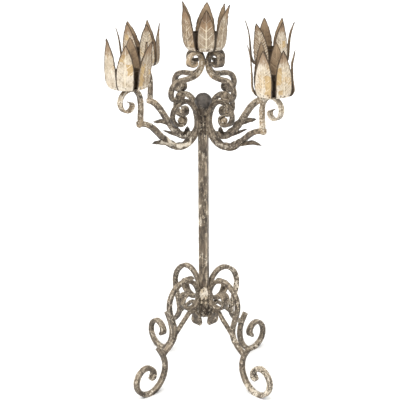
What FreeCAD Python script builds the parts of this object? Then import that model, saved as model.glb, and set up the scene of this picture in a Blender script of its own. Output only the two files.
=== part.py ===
import FreeCAD, Part
import math
import os
import Sketcher

# Five-light wrought-iron candlestick: a square post on four scrolled legs,
# four scrolled arms with leaf cups at their ends and a fifth leaf cup raised
# over the post on four crown scrolls.
#
# Frame: origin on the floor under the post, +Z up, millimetres.  The four
# arms, legs and crown scrolls lie in the planes y = 0 and x = 0:
#   back_right +X, back_left +Y, front_left -X, front_right -Y.
# Bars are described by the centre line of the bar in its own (r, z) plane, as
# rows of (r, z, heading in degrees) joined by pairs of tangent arcs.

V = FreeCAD.Vector
doc = FreeCAD.newDocument("candlestick")

# ---------------------------------------------------------------- dimensions
dims = doc.addObject("Spreadsheet::Sheet", "dims")
CELLS = [
    ("post_side", 16.3, "square post, across flats"),
    ("post_turn", 32.8, "turn of the post about its own axis, degrees"),
    ("post_low", 128.0, "lower end of the post"),
    ("post_high", 566.0, "upper end of the post, inside the ball"),
    ("ball_radius", 16.75, "ball on the top of the post"),
    ("ball_height", 576.0, "centre of the ball"),
    ("arm_thick", 8.0, "arm bar in the plane of the scroll"),
    ("arm_width", 8.0, "arm bar across the plane of the scroll"),
    ("upright_thick", 7.5, "upright bar in its plane"),
    ("upright_width", 7.5, "upright bar across its plane"),
    ("crown_thick", 8.0, "crown scroll bar in its plane"),
    ("crown_width", 7.2, "crown scroll bar across its plane"),
    ("leg_thick", 8.0, "leg bar in its plane"),
    ("leg_width", 8.0, "leg bar across its plane"),
    ("foot_thick", 8.0, "foot scroll bar in its plane"),
    ("foot_width", 8.6, "foot scroll bar across its plane"),
    ("strut_thick", 7.0, "leg strut bar in its plane"),
    ("strut_width", 7.0, "leg strut bar across its plane"),
    ("sheath_width", 12.6, "leaf wrapped round each arm, across the arm"),
    ("sheath_drop", 6.6, "depth of the wrapped leaf below the arm's centre line"),
    ("cup_reach", 184.0, "axis of an arm's cup from the post's axis"),
    ("cup_height", 622.4, "underside of an arm's cup pan, before its rise"),
    ("centre_height", 675.7, "underside of the centre cup pan"),
    ("rise_front_left", 6.0, "hand-bent rise of this arm's end"),
    ("rise_front_right", -7.0, "hand-bent rise of this arm's end"),
    ("rise_back_left", 0.0, "hand-bent rise of this arm's end"),
    ("rise_back_right", 2.0, "hand-bent rise of this arm's end"),
    ("swing_front_left", 0.0, "turn of this leg and foot off its square, degrees"),
    ("swing_front_right", 1.5, "turn of this leg and foot off its square, degrees"),
    ("swing_back_left", -3.5, "turn of this leg and foot off its square, degrees"),
    ("swing_back_right", 2.0, "turn of this leg and foot off its square, degrees"),
    ("crown_shift", 4.0, "hand-bent lean of the crown: how far its top stands off the post's axis"),
    ("crown_shift_turn", -43.2, "direction of that lean, degrees from +X"),
    ("crown_foot", 588.0, "height about which the crown scrolls lean"),
    ("pan_radius", 30.0, "round pan under each cup"),
    ("pan_thick", 2.5, "thickness of the pan"),
    ("liner_radius", 24.0, "outside of the candle liner"),
    ("liner_wall", 1.0, "wall of the candle liner"),
    ("liner_floor", 1.5, "floor of the candle liner"),
    ("liner_high", 31.0, "height of the candle liner"),
    ("leaf_thick", 1.2, "sheet of the cup leaves"),
    ("leaf_count", 6, "leaves round one cup"),
    ("weld_high", 30.0, "length of the weld runs at the post"),
    ("weld_upper", 519.0, "lower end of the upper weld runs"),
    ("weld_lower", 162.0, "lower end of the lower weld runs"),
]
for i, (alias, value, note) in enumerate(CELLS, start=1):
    dims.set("A%d" % i, alias)
    dims.set("B%d" % i, "%g" % value)
    dims.set("C%d" % i, note)
    dims.setAlias("B%d" % i, alias)
doc.recompute()


def dim(alias):
    return float(getattr(dims, alias))


# ------------------------------------------------------- bar centre lines (r, z, heading)
ARM = [(164.74, 551.68, 174.99), (140.55, 547.63, -155.87), (110, 524.28, -136.38),
       (79.26, 500.82, -155.79), (54.92, 496.48, 175.31), (32.22, 504.38, 145.97),
       (18.74, 520.01, 114.29), (15.74, 542.24, 83.76), (24.69, 568.68, 56.92),
       (38.27, 580.56, 23.48), (55.15, 582.41, -10.85), (71.04, 574.01, -44.34),
       (78.96, 560.08, -79.13), (77.45, 548.73, -117.36), (68.68, 540.53, -154.99),
       (57.29, 539.03, 167.03), (51.34, 542.78, 125.77), (49.71, 548.83, 84.59),
       (52.31, 554.17, 42.54), (58.71, 556.51, 1.31)]
UPRIGHT = [(158.0, 551.6, 90.0), (156.83, 595.27, 85.09), (162.97, 610.95, 49.22),
           (175.26, 618.13, 11.43), (191.07, 616.09, -24.98), (202.11, 605.99, -62.22),
           (203.92, 593.78, -101.14), (197.51, 582.86, -139.94), (188.16, 579.25, 179.36),
           (179.86, 582.53, 137.96), (176.38, 588.85, 95.35), (177.63, 593.14, 50.87),
           (184.01, 596.18, 8.38)]
CROWN = [(61.67, 603.87, -164.02), (56.75, 600.26, -121.62), (55.81, 595.29, -78.98),
         (58.88, 590.63, -36.93), (68.61, 588.03, 2.49), (78.48, 591.72, 41.26),
         (82.53, 599.6, 81.6), (80.09, 611.79, 119.49), (69.87, 620.87, 156.22),
         (37.35, 625.62, 171.97), (17.33, 633.23, 140.5), (9.04, 646.11, 104.92),
         (9.61, 659.64, 68.17), (17.61, 668.8, 30.3), (30.1, 671.49, -6.94),
         (39.25, 667.07, -46.08), (43.12, 658.47, -85.94), (41.27, 651.45, -127.14),
         (36.33, 648.45, -169.35), (29.82, 649.59, 148.99), (26.81, 653.29, 106.28),
         (27.42, 658.14, 63.47)]
LEG = [(113.47, 75.25, 132.0), (90.5, 94.44, 134.03), (81.35, 110.68, 100.89),
       (84.66, 136.12, 72.54), (94.12, 174.4, 89.3), (88.73, 195.36, 120.41),
       (72.4, 211.19, 150.6), (51.46, 216.61, -178.28), (33.02, 210.6, -145.64),
       (19.25, 193.86, -114.45), (15.7, 173.36, -82.91), (21.28, 160.86, -46.41),
       (32.89, 154.92, -9.28), (48.19, 157.24, 26.02), (59.08, 167.54, 61.75),
       (61.27, 179.08, 99.74), (57.16, 186.41, 139.92), (49.36, 189.25, 179.94),
       (41.85, 186.5, -139.59)]
FOOT = [(126.09, 94.77, -126.42), (109.71, 64.43, -104.44), (109.66, 40.11, -75.66),
        (121.87, 17.58, -47.66), (140.41, 5.22, -17.44), (158.67, 4.88, 15.62),
        (174.77, 14.97, 48.16), (182.42, 30.82, 81.54), (179.96, 46.72, 116.13),
        (169.03, 58.37, 150.61), (155.59, 61.24, -173.19), (144.12, 55.85, -136.37),
        (139.04, 46.55, -97.94), (140.49, 39.45, -57.55), (148.12, 34.04, -18.3)]
STRUT = [(81.0, 109.5, 137.0), (47.0, 141.2, 137.0), (35.0, 147.2, 178.0),
         (25.0, 141.5, -128.0), (21.0, 131.0, -98.0), (20.5, 114.0, -90.0)]
# Half section of a leaf cup: distance from the cup's axis, height over the pan's underside.
LEAF_WALL = [(30.0, 1.25), (32.2, 1.7), (34.4, 3.2), (36.3, 6.2), (37.6, 10.5), (38.6, 17.0), (39.3, 30.0),
             (39.9, 48.0), (41.0, 62.0), (43.4, 75.0), (46.2, 86.0)]
# Half outline of one leaf, as seen from outside: half width, height over the pan's underside.
LEAF_SIDE = [(12.0, -1.0), (14.9, 8.0), (16.3, 22.0), (15.5, 40.0), (12.3, 57.0),
             (7.3, 72.0), (2.6, 82.5), (0.0, 86.4)]
QUARTERS = [("back_right", 0.0), ("back_left", 90.0), ("front_left", 180.0), ("front_right", 270.0)]
# Where the leaves stand round each cup, degrees from +X: set by eye, so not quite evenly.
LEAF_AT = {"centre": [229.8, 283.8, 348.8, 47.8, 105.8, 174.8],
           "back_right": [131.8, 198.8, 259.8, 317.8, 9.8, 60.8],
           "back_left": [138.8, 200.8, 252.8, 306.8, 10.8, 70.8],
           "front_left": [170.3, 222.3, 280.3, 336.8, 40.8, 112.8],
           "front_right": [135.8, 195.8, 252.3, 317.8, 31.6, 83.4]}


# ------------------------------------------------------------- plane geometry
def unit(deg):
    return (math.cos(math.radians(deg)), math.sin(math.radians(deg)))


def arc_from(p, t, q):
    """Arc or line from p, leaving along the unit heading t, to q: (p, q, centre, signed radius)."""
    wx, wy = q[0] - p[0], q[1] - p[1]
    side = -wx * t[1] + wy * t[0]
    if abs(side) < 1e-7:
        return (p, q, None, 0.0)
    rad = (wx * wx + wy * wy) / (2.0 * side)
    return (p, q, (p[0] - t[1] * rad, p[1] + t[0] * rad), rad)


def biarcs(table):
    """Chain of tangent arcs through the table's points with its headings."""
    chain = []
    for (x0, y0, a0), (x1, y1, a1) in zip(table, table[1:]):
        t0, t1 = unit(a0), unit(a1)
        vx, vy = x1 - x0, y1 - y0
        vv = vx * vx + vy * vy
        vt = vx * (t0[0] + t1[0]) + vy * (t0[1] + t1[1])
        k = 2.0 * (1.0 - (t0[0] * t1[0] + t0[1] * t1[1]))
        if k < 1e-9:
            d = vv / (2.0 * vt)
        else:
            d = (-vt + math.sqrt(vt * vt + k * vv)) / k
        mid = ((x0 + x1 + d * (t0[0] - t1[0])) / 2.0, (y0 + y1 + d * (t0[1] - t1[1])) / 2.0)
        chain.append(arc_from((x0, y0), t0, mid))
        back = arc_from((x1, y1), (-t1[0], -t1[1]), mid)
        chain.append((mid, (x1, y1), back[2], -back[3]))
    return chain


def shifted(seg, o):
    """The segment moved o to the left of its travel."""
    p, q, c, rad = seg
    if c is None:
        dx, dy = q[0] - p[0], q[1] - p[1]
        n = math.hypot(dx, dy)
        return ((p[0] - dy / n * o, p[1] + dx / n * o), (q[0] - dy / n * o, q[1] + dx / n * o), None, 0.0)
    f = (rad - o) / rad
    move = lambda s: (c[0] + (s[0] - c[0]) * f, c[1] + (s[1] - c[1]) * f)
    return (move(p), move(q), c, rad - o)


def as_edge(seg):
    p, q, c, rad = seg
    if c is None:
        return Part.LineSegment(V(p[0], p[1], 0), V(q[0], q[1], 0))
    if rad < 0:
        p, q = q, p
    a0 = math.atan2(p[1] - c[1], p[0] - c[0])
    a1 = math.atan2(q[1] - c[1], q[0] - c[0])
    if a1 < a0:
        a1 += 2.0 * math.pi
    return Part.ArcOfCircle(Part.Circle(V(c[0], c[1], 0), V(0, 0, 1), abs(rad)), a0, a1)


def strip(table, thick):
    """Closed outline of a bar of the given thickness along the table's centre line."""
    chain = biarcs(table)
    left = [shifted(s, thick / 2.0) for s in chain]
    right = [shifted(s, -thick / 2.0) for s in chain]
    edges = [as_edge(s) for s in left + right]
    edges.append(as_edge((left[0][0], right[0][0], None, 0.0)))
    edges.append(as_edge((left[-1][1], right[-1][1], None, 0.0)))
    return edges


def points_on(chain, step=5.0):
    """Points and headings along a chain of arcs."""
    out = []
    for p, q, c, rad in chain:
        if c is None:
            a = math.atan2(q[1] - p[1], q[0] - p[0])
            out.append((p[0], p[1], a))
            continue
        a0 = math.atan2(p[1] - c[1], p[0] - c[0])
        a1 = math.atan2(q[1] - c[1], q[0] - c[0])
        turn = a1 - a0
        if rad > 0 and turn < 0:
            turn += 2 * math.pi
        if rad < 0 and turn > 0:
            turn -= 2 * math.pi
        n = max(2, int(abs(turn * rad) / step))
        for i in range(n):
            a = a0 + turn * i / n
            out.append((c[0] + abs(rad) * math.cos(a), c[1] + abs(rad) * math.sin(a),
                        a + (math.pi / 2 if rad > 0 else -math.pi / 2)))
    return out


def folded_strip(points, thick):
    """Closed outline of a sheet of the given thickness along a line of short straight runs."""
    left, right = [], []
    for i, (x, z) in enumerate(points):
        runs = []
        for a, b in ((i - 1, i), (i, i + 1)):
            if 0 <= a and b < len(points):
                dx, dz = points[b][0] - points[a][0], points[b][1] - points[a][1]
                runs.append((-dz / math.hypot(dx, dz), dx / math.hypot(dx, dz)))
        if i == 0:
            runs = [(0.0, 1.0)]
        nx, nz = sum(n[0] for n in runs), sum(n[1] for n in runs)
        k = thick / 2.0 * len(runs) / (nx * nx + nz * nz)
        left.append((x + nx * k, z + nz * k))
        right.append((x - nx * k, z - nz * k))
    return polygon(left + right[::-1])


def polygon(points):
    return [Part.LineSegment(V(p[0], p[1], 0), V(q[0], q[1], 0)) for p, q in zip(points, points[1:] + points[:1])]


# ------------------------------------------------------------ document helpers
def plane(body, role):
    return next(f for f in body.Origin.OriginFeatures if f.Role == role)


def turned(deg, x=0.0, y=0.0, z=0.0):
    return FreeCAD.Placement(V(x, y, z), FreeCAD.Rotation(V(0, 0, 1), deg))


def new_body(name):
    body = doc.addObject("PartDesign::Body", name)
    body.AllowCompound = True
    return body


def sketch_on(body, role, edges, offset=0.0):
    sk = body.newObject("Sketcher::SketchObject", body.Name + "_outline")
    sk.AttachmentSupport = (plane(body, role), [""])
    sk.MapMode = "FlatFace"
    sk.AttachmentOffset = FreeCAD.Placement(V(0, 0, offset), FreeCAD.Rotation())
    sk.addGeometry(edges, False)
    return sk


def scroll_bar(name, edges, width_cell, place):
    """A bar bent in the XZ plane: its outline padded both ways by half the bar's width."""
    body = new_body(name)
    sk = sketch_on(body, "XZ_Plane", edges)
    pad = body.newObject("PartDesign::Pad", name + "_pad")
    pad.Profile = sk
    pad.SideType = "Symmetric"
    pad.setExpression("Length", "dims." + width_cell)
    body.Placement = place
    return body


def cut(name, base, tool):
    obj = doc.addObject("Part::Cut", name)
    obj.Base = base
    obj.Tool = tool
    return obj


NODES = {}


def keep(name, obj):
    obj.Label = name
    NODES[name] = obj


# ------------------------------------------------------------------- the post
post = new_body("post_body")
sk = post.newObject("Sketcher::SketchObject", "post_section")
sk.AttachmentSupport = (plane(post, "XY_Plane"), [""])
sk.MapMode = "FlatFace"
half = dim("post_side") / 2.0
corners = [(-half, -half), (half, -half), (half, half), (-half, half)]
sk.addGeometry(polygon(corners), False)
for i in range(4):
    sk.addConstraint(Sketcher.Constraint("Coincident", i, 2, (i + 1) % 4, 1))
for i in (0, 2):
    sk.addConstraint(Sketcher.Constraint("Horizontal", i))
for i in (1, 3):
    sk.addConstraint(Sketcher.Constraint("Vertical", i))
sk.addConstraint(Sketcher.Constraint("Symmetric", 0, 1, 2, 1, -1, 1))
row = sk.addConstraint(Sketcher.Constraint("DistanceX", 0, 1, 0, 2, 2 * half))
sk.renameConstraint(row, "side_x")
row = sk.addConstraint(Sketcher.Constraint("DistanceY", 1, 1, 1, 2, 2 * half))
sk.renameConstraint(row, "side_y")
sk.setExpression("Constraints.side_x", "dims.post_side")
sk.setExpression("Constraints.side_y", "dims.post_side")
pad = post.newObject("PartDesign::Pad", "post_pad")
pad.Profile = sk
pad.setExpression("Length", "dims.post_high - dims.post_low")
post.Placement = turned(dim("post_turn"), z=dim("post_low"))
keep("post", post)

# Ball on the post, with a square socket that the post's end fills.
ball = doc.addObject("Part::Sphere", "ball_blank")
ball.setExpression("Radius", "dims.ball_radius")
ball.setExpression("Placement.Base.z", "dims.ball_height")
keep("ball_finial", cut("ball_cut", ball, post))

# Ground, used to flatten the feet where they stand.
ground = doc.addObject("Part::Box", "ground")
ground.Length = 600
ground.Width = 600
ground.Height = 20
ground.Placement.Base = V(-300, -300, -20)

# ----------------------------------------------------- arms, crown, legs, feet
for quarter, angle in QUARTERS:
    rise = dim("rise_" + quarter)
    swing = angle + dim("swing_" + quarter)

    # The arm's outer end is bent up or down by its own rise, from the low point of its sweep outwards.
    arm_rows = []
    for i, (r, z, a) in enumerate(ARM):
        s = min(max((r - 60.0) / 95.0, 0.0), 1.0) if i < 5 else 0.0
        lift = s * s * (3.0 - 2.0 * s)
        slope = 6.0 * s * (1.0 - s) / 95.0 if i < 5 else 0.0
        tx, tz = unit(a)
        arm_rows.append((r, z + rise * lift, math.degrees(math.atan2(tz + rise * slope * tx, tx))))
    arm = scroll_bar("arm_%s_body" % quarter, strip(arm_rows, dim("arm_thick")), "arm_width", turned(angle))
    keep("arm_" + quarter, arm)

    # Upright with a scroll on top, standing on the arm's end.
    upright = scroll_bar("upright_%s_body" % quarter, strip(UPRIGHT, dim("upright_thick")), "upright_width",
                         turned(angle, z=rise))
    keep("candle_upright_" + quarter, cut("upright_%s_cut" % quarter, upright, arm))

    # Leaf wrapped under the arm's sweep: cheeks on both sides, two tips outside and a barb above.
    line = [p for p in points_on(biarcs(arm_rows[1:7])) if 29.0 <= p[0] <= 103.0]
    below = [(x - math.sin(a) * dim("sheath_drop"), z + math.cos(a) * dim("sheath_drop")) for x, z, a in line]
    mid = [(x, z) for x, z, a in line]
    inward = [p for p in mid if p[0] < 38.0]
    between = [p for p in mid if 54.5 < p[0]]
    wrap = list(reversed(inward)) + [(40.5, 506.5), (46.0, 517.0), (52.5, 504.5)] + list(reversed(between))
    wrap += [(112.0, 515.5), (147.0, 513.0), (122.0, 509.0), (108.5, 507.5), (120.0, 499.5), (104.0, 499.0)]
    wrap += [p for p in below if p[0] < 98.0]
    sheath = scroll_bar("sheath_%s_body" % quarter, polygon(wrap), "sheath_width", turned(angle))
    keep("arm_leaf_" + quarter, cut("sheath_%s_cut" % quarter, sheath, arm))

    # Crown scroll: stands on the arm's volute, meets the others over the post and carries the centre cup.
    # Its upper part is bent along its own plane and the whole bar leans across it, so that the top stands off the axis.
    along = dim("crown_shift") * math.cos(math.radians(dim("crown_shift_turn") - angle))
    across = dim("crown_shift") * math.sin(math.radians(dim("crown_shift_turn") - angle))
    crown_rows = []
    for r, z, a in CROWN:
        s = min(max((z - 612.0) / 34.0, 0.0), 1.0)
        tx, tz = unit(a)
        slope = 6.0 * s * (1.0 - s) / 34.0
        crown_rows.append((r + along * s * s * (3.0 - 2.0 * s), z,
                           math.degrees(math.atan2(tz, tx + along * slope * tz))))
    foot_point = V(0, 0, dim("crown_foot"))
    lean = FreeCAD.Placement(V(0, 0, 0), FreeCAD.Rotation(V(1, 0, 0), -math.degrees(math.atan2(across, 67.0))), foot_point)
    keep("crown_scroll_" + quarter,
         scroll_bar("crown_%s_body" % quarter, strip(crown_rows, dim("crown_thick")), "crown_width",
                    turned(angle).multiply(lean)))

    # Foot scroll, flattened on the ground.
    foot_body = scroll_bar("foot_%s_body" % quarter, strip(FOOT, dim("foot_thick")), "foot_width", turned(swing))
    keep("foot_scroll_" + quarter, cut("foot_%s_cut" % quarter, foot_body, ground))

    # Leg, cut to the foot scroll that it is welded to.
    leg_body = scroll_bar("leg_%s_body" % quarter, strip(LEG, dim("leg_thick")), "leg_width", turned(swing))
    keep("leg_" + quarter, cut("leg_%s_cut" % quarter, leg_body, foot_body))

    # Strut from the leg up to the hub, its inner end bent down.
    strut = scroll_bar("strut_%s_body" % quarter, strip(STRUT, dim("strut_thick")), "strut_width", turned(swing))
    keep("leg_strut_" + quarter, cut("strut_%s_cut" % quarter, strut, leg_body))

# ------------------------------------------------------------------ weld runs
# Each run fills the wedge between an arm's inner face and the post's turned face beside it.
turn = math.radians(dim("post_turn"))
corner = (half / math.cos(math.pi / 4) * math.cos(math.pi / 4 - turn),
          -half / math.cos(math.pi / 4) * math.sin(math.pi / 4 - turn))


def on_post(lat):
    return corner[0] - (lat - corner[1]) * math.tan(turn)


for name, cell, face in (("hub_welds_upper", "weld_upper", 11.40), ("hub_welds_lower", "weld_lower", 11.22)):
    body = new_body(name + "_body")
    wedge = [(on_post(-1.2) + 0.02, -1.2), (face - 0.03, -1.2), (face - 0.03, 3.9), (9.2, 6.3),
             (on_post(6.1) + 0.02, 6.1)]
    sk = sketch_on(body, "XY_Plane", polygon(wedge))
    pad = body.newObject("PartDesign::Pad", name + "_pad")
    pad.Profile = sk
    pad.setExpression("Length", "dims.weld_high")
    doc.recompute()
    ring = body.newObject("PartDesign::PolarPattern", name + "_ring")
    ring.Originals = [pad]
    ring.Axis = (next(f for f in body.Origin.OriginFeatures if f.Role == "Z_Axis"), [""])
    ring.Angle = 360
    ring.Occurrences = 4
    body.Tip = ring
    body.Placement = turned(0.0, z=dim(cell))
    keep(name, body)

# ------------------------------------------------------------------ leaf cups
wall = new_body("leaf_wall")
sk = sketch_on(wall, "XZ_Plane", folded_strip(LEAF_WALL, dim("leaf_thick")))
spin = wall.newObject("PartDesign::Revolution", "leaf_wall_turned")
spin.Profile = sk
spin.ReferenceAxis = (sk, ["V_Axis"])
spin.Angle = 360

blade = new_body("leaf_blade")
side = []
for i, (x, z) in enumerate(LEAF_SIDE):
    a = LEAF_SIDE[max(i - 1, 0)]
    b = LEAF_SIDE[min(i + 1, len(LEAF_SIDE) - 1)]
    side.append((x, z, math.degrees(math.atan2(b[1] - a[1], b[0] - a[0]))))
right = biarcs(side)
left = [((-p[0], p[1]), (-q[0], q[1]), None if c is None else (-c[0], c[1]), -rad) for p, q, c, rad in right]
edges = [as_edge(s) for s in right + left]
edges.append(as_edge(((-LEAF_SIDE[0][0], LEAF_SIDE[0][1]), LEAF_SIDE[0], None, 0.0)))
sk = sketch_on(blade, "YZ_Plane", edges, offset=29.0)
pad = blade.newObject("PartDesign::Pad", "leaf_blade_pad")
pad.Profile = sk
pad.Length = 30
leaf = doc.addObject("Part::Common", "cup_leaf_made")
leaf.Base = wall
leaf.Tool = blade
doc.recompute()

for quarter, angle in [("centre", None)] + QUARTERS:
    if angle is None:
        x = dim("crown_shift") * math.cos(math.radians(dim("crown_shift_turn")))
        y = dim("crown_shift") * math.sin(math.radians(dim("crown_shift_turn")))
        low = "dims.centre_height"
    else:
        x = dim("cup_reach") * math.cos(math.radians(angle))
        y = dim("cup_reach") * math.sin(math.radians(angle))
        low = "dims.cup_height + dims.rise_" + quarter
    base = dim("centre_height") if angle is None else dim("cup_height") + dim("rise_" + quarter)

    pan = doc.addObject("Part::Cylinder", "pan_" + quarter)
    pan.setExpression("Radius", "dims.pan_radius")
    pan.setExpression("Height", "dims.pan_thick")
    pan.Placement.Base = V(x, y, base)
    pan.setExpression("Placement.Base.z", low)
    keep("cup_pan_" + quarter, pan)

    stood = []
    for k in range(int(dim("leaf_count"))):
        one = doc.addObject("Part::Compound", "leaf_%s_%d" % (quarter, k))
        one.Links = [leaf]
        one.Placement = turned(LEAF_AT[quarter][k], x, y, base)
        stood.append(one)
    ringed = doc.addObject("Part::Compound", "leaves_" + quarter)
    ringed.Links = stood
    keep("cup_leaves_" + quarter, ringed)

    shell = doc.addObject("Part::Cylinder", "liner_%s_outside" % quarter)
    shell.setExpression("Radius", "dims.liner_radius")
    shell.setExpression("Height", "dims.liner_high")
    shell.Placement.Base = V(x, y, base)
    shell.setExpression("Placement.Base.z", low + " + dims.pan_thick")
    inside = doc.addObject("Part::Cylinder", "liner_%s_inside" % quarter)
    inside.setExpression("Radius", "dims.liner_radius - dims.liner_wall")
    inside.setExpression("Height", "dims.liner_high")
    inside.Placement.Base = V(x, y, base)
    inside.setExpression("Placement.Base.z", low + " + dims.pan_thick + dims.liner_floor")
    keep("candle_liner_" + quarter, cut("liner_%s_cut" % quarter, shell, inside))

# --------------------------------------------------------------- check, export
doc.recompute()
bad = [o.Name for o in doc.Objects if "Invalid" in o.State or "Error" in o.State]
if bad:
    raise SystemExit("failed objects: " + ", ".join(bad))
os.makedirs("parts", exist_ok=True)
for name, obj in NODES.items():
    shape = obj.Shape
    if shape.isNull() or not shape.isValid() or not shape.Solids:
        raise SystemExit("bad shape: " + name)
for name, obj in NODES.items():
    shape = obj.Shape
    shape.exportStep("parts/%s.step" % name)
    box = shape.BoundBox
    print("%-28s solids %d  volume %9.0f  z %.1f..%.1f" % (name, len(shape.Solids), shape.Volume, box.ZMin, box.ZMax))
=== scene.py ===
import math

import bpy
import numpy as np
from mathutils import Matrix, Vector


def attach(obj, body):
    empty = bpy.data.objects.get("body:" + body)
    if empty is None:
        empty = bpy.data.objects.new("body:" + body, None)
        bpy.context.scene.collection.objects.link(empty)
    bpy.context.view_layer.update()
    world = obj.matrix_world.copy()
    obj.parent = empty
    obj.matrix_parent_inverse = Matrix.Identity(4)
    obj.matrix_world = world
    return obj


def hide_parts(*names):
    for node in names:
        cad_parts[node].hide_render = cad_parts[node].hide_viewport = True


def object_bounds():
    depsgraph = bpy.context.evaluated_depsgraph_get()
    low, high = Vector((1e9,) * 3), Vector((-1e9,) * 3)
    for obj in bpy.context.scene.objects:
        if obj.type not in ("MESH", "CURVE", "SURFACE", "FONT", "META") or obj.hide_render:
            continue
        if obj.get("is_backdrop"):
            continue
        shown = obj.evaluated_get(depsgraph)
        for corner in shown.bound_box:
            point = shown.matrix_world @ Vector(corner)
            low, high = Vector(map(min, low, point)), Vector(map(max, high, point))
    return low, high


# Looks of the five-light wrought-iron candlestick: hand-forged bars with
# flared scroll ends, embossed sheet leaves, wrapped leaf sheaths, weld runs,
# a hammered ball and dark candle tins, under worn cream and taupe paint.
# Shapes are worked out in millimetres in the part's frame and stored in metres.

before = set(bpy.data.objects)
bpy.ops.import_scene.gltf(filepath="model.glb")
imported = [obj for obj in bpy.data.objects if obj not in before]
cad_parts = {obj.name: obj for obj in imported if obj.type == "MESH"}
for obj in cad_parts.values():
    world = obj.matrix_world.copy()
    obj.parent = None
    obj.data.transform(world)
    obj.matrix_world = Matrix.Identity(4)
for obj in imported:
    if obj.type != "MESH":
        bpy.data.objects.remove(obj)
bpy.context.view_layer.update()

# ------------------------------------------------------------ centre lines (r, z, heading)
ARM = [(164.74, 551.68, 174.99), (140.55, 547.63, -155.87), (110, 524.28, -136.38),
       (79.26, 500.82, -155.79), (54.92, 496.48, 175.31), (32.22, 504.38, 145.97),
       (18.74, 520.01, 114.29), (15.74, 542.24, 83.76), (24.69, 568.68, 56.92),
       (38.27, 580.56, 23.48), (55.15, 582.41, -10.85), (71.04, 574.01, -44.34),
       (78.96, 560.08, -79.13), (77.45, 548.73, -117.36), (68.68, 540.53, -154.99),
       (57.29, 539.03, 167.03), (51.34, 542.78, 125.77), (49.71, 548.83, 84.59),
       (52.31, 554.17, 42.54), (58.71, 556.51, 1.31)]
UPRIGHT = [(158.0, 551.6, 90.0), (156.83, 595.27, 85.09), (162.97, 610.95, 49.22),
           (175.26, 618.13, 11.43), (191.07, 616.09, -24.98), (202.11, 605.99, -62.22),
           (203.92, 593.78, -101.14), (197.51, 582.86, -139.94), (188.16, 579.25, 179.36),
           (179.86, 582.53, 137.96), (176.38, 588.85, 95.35), (177.63, 593.14, 50.87),
           (184.01, 596.18, 8.38)]
CROWN = [(61.67, 603.87, -164.02), (56.75, 600.26, -121.62), (55.81, 595.29, -78.98),
         (58.88, 590.63, -36.93), (68.61, 588.03, 2.49), (78.48, 591.72, 41.26),
         (82.53, 599.6, 81.6), (80.09, 611.79, 119.49), (69.87, 620.87, 156.22),
         (37.35, 625.62, 171.97), (17.33, 633.23, 140.5), (9.04, 646.11, 104.92),
         (9.61, 659.64, 68.17), (17.61, 668.8, 30.3), (30.1, 671.49, -6.94),
         (39.25, 667.07, -46.08), (43.12, 658.47, -85.94), (41.27, 651.45, -127.14),
         (36.33, 648.45, -169.35), (29.82, 649.59, 148.99), (26.81, 653.29, 106.28),
         (27.42, 658.14, 63.47)]
LEG = [(113.47, 75.25, 132.0), (90.5, 94.44, 134.03), (81.35, 110.68, 100.89),
       (84.66, 136.12, 72.54), (94.12, 174.4, 89.3), (88.73, 195.36, 120.41),
       (72.4, 211.19, 150.6), (51.46, 216.61, -178.28), (33.02, 210.6, -145.64),
       (19.25, 193.86, -114.45), (15.7, 173.36, -82.91), (21.28, 160.86, -46.41),
       (32.89, 154.92, -9.28), (48.19, 157.24, 26.02), (59.08, 167.54, 61.75),
       (61.27, 179.08, 99.74), (57.16, 186.41, 139.92), (49.36, 189.25, 179.94),
       (41.85, 186.5, -139.59)]
FOOT = [(126.09, 94.77, -126.42), (109.71, 64.43, -104.44), (109.66, 40.11, -75.66),
        (121.87, 17.58, -47.66), (140.41, 5.22, -17.44), (158.67, 4.88, 15.62),
        (174.77, 14.97, 48.16), (182.42, 30.82, 81.54), (179.96, 46.72, 116.13),
        (169.03, 58.37, 150.61), (155.59, 61.24, -173.19), (144.12, 55.85, -136.37),
        (139.04, 46.55, -97.94), (140.49, 39.45, -57.55), (148.12, 34.04, -18.3)]
STRUT = [(81.0, 109.5, 137.0), (47.0, 141.2, 137.0), (35.0, 147.2, 178.0),
         (25.0, 141.5, -128.0), (21.0, 131.0, -98.0), (20.5, 114.0, -90.0)]
LEAF_WALL = [(30.0, 1.25), (32.2, 1.7), (34.4, 3.2), (36.3, 6.2), (37.6, 10.5), (38.6, 17.0), (39.3, 30.0),
             (39.9, 48.0), (41.0, 62.0), (43.4, 75.0), (46.2, 86.0)]
LEAF_SIDE = [(12.0, -1.0), (14.9, 8.0), (16.3, 22.0), (15.5, 40.0), (12.3, 57.0),
             (7.3, 72.0), (2.6, 82.5), (0.25, 86.4)]
QUARTERS = [("back_right", 0.0), ("back_left", 90.0), ("front_left", 180.0), ("front_right", 270.0)]
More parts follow.
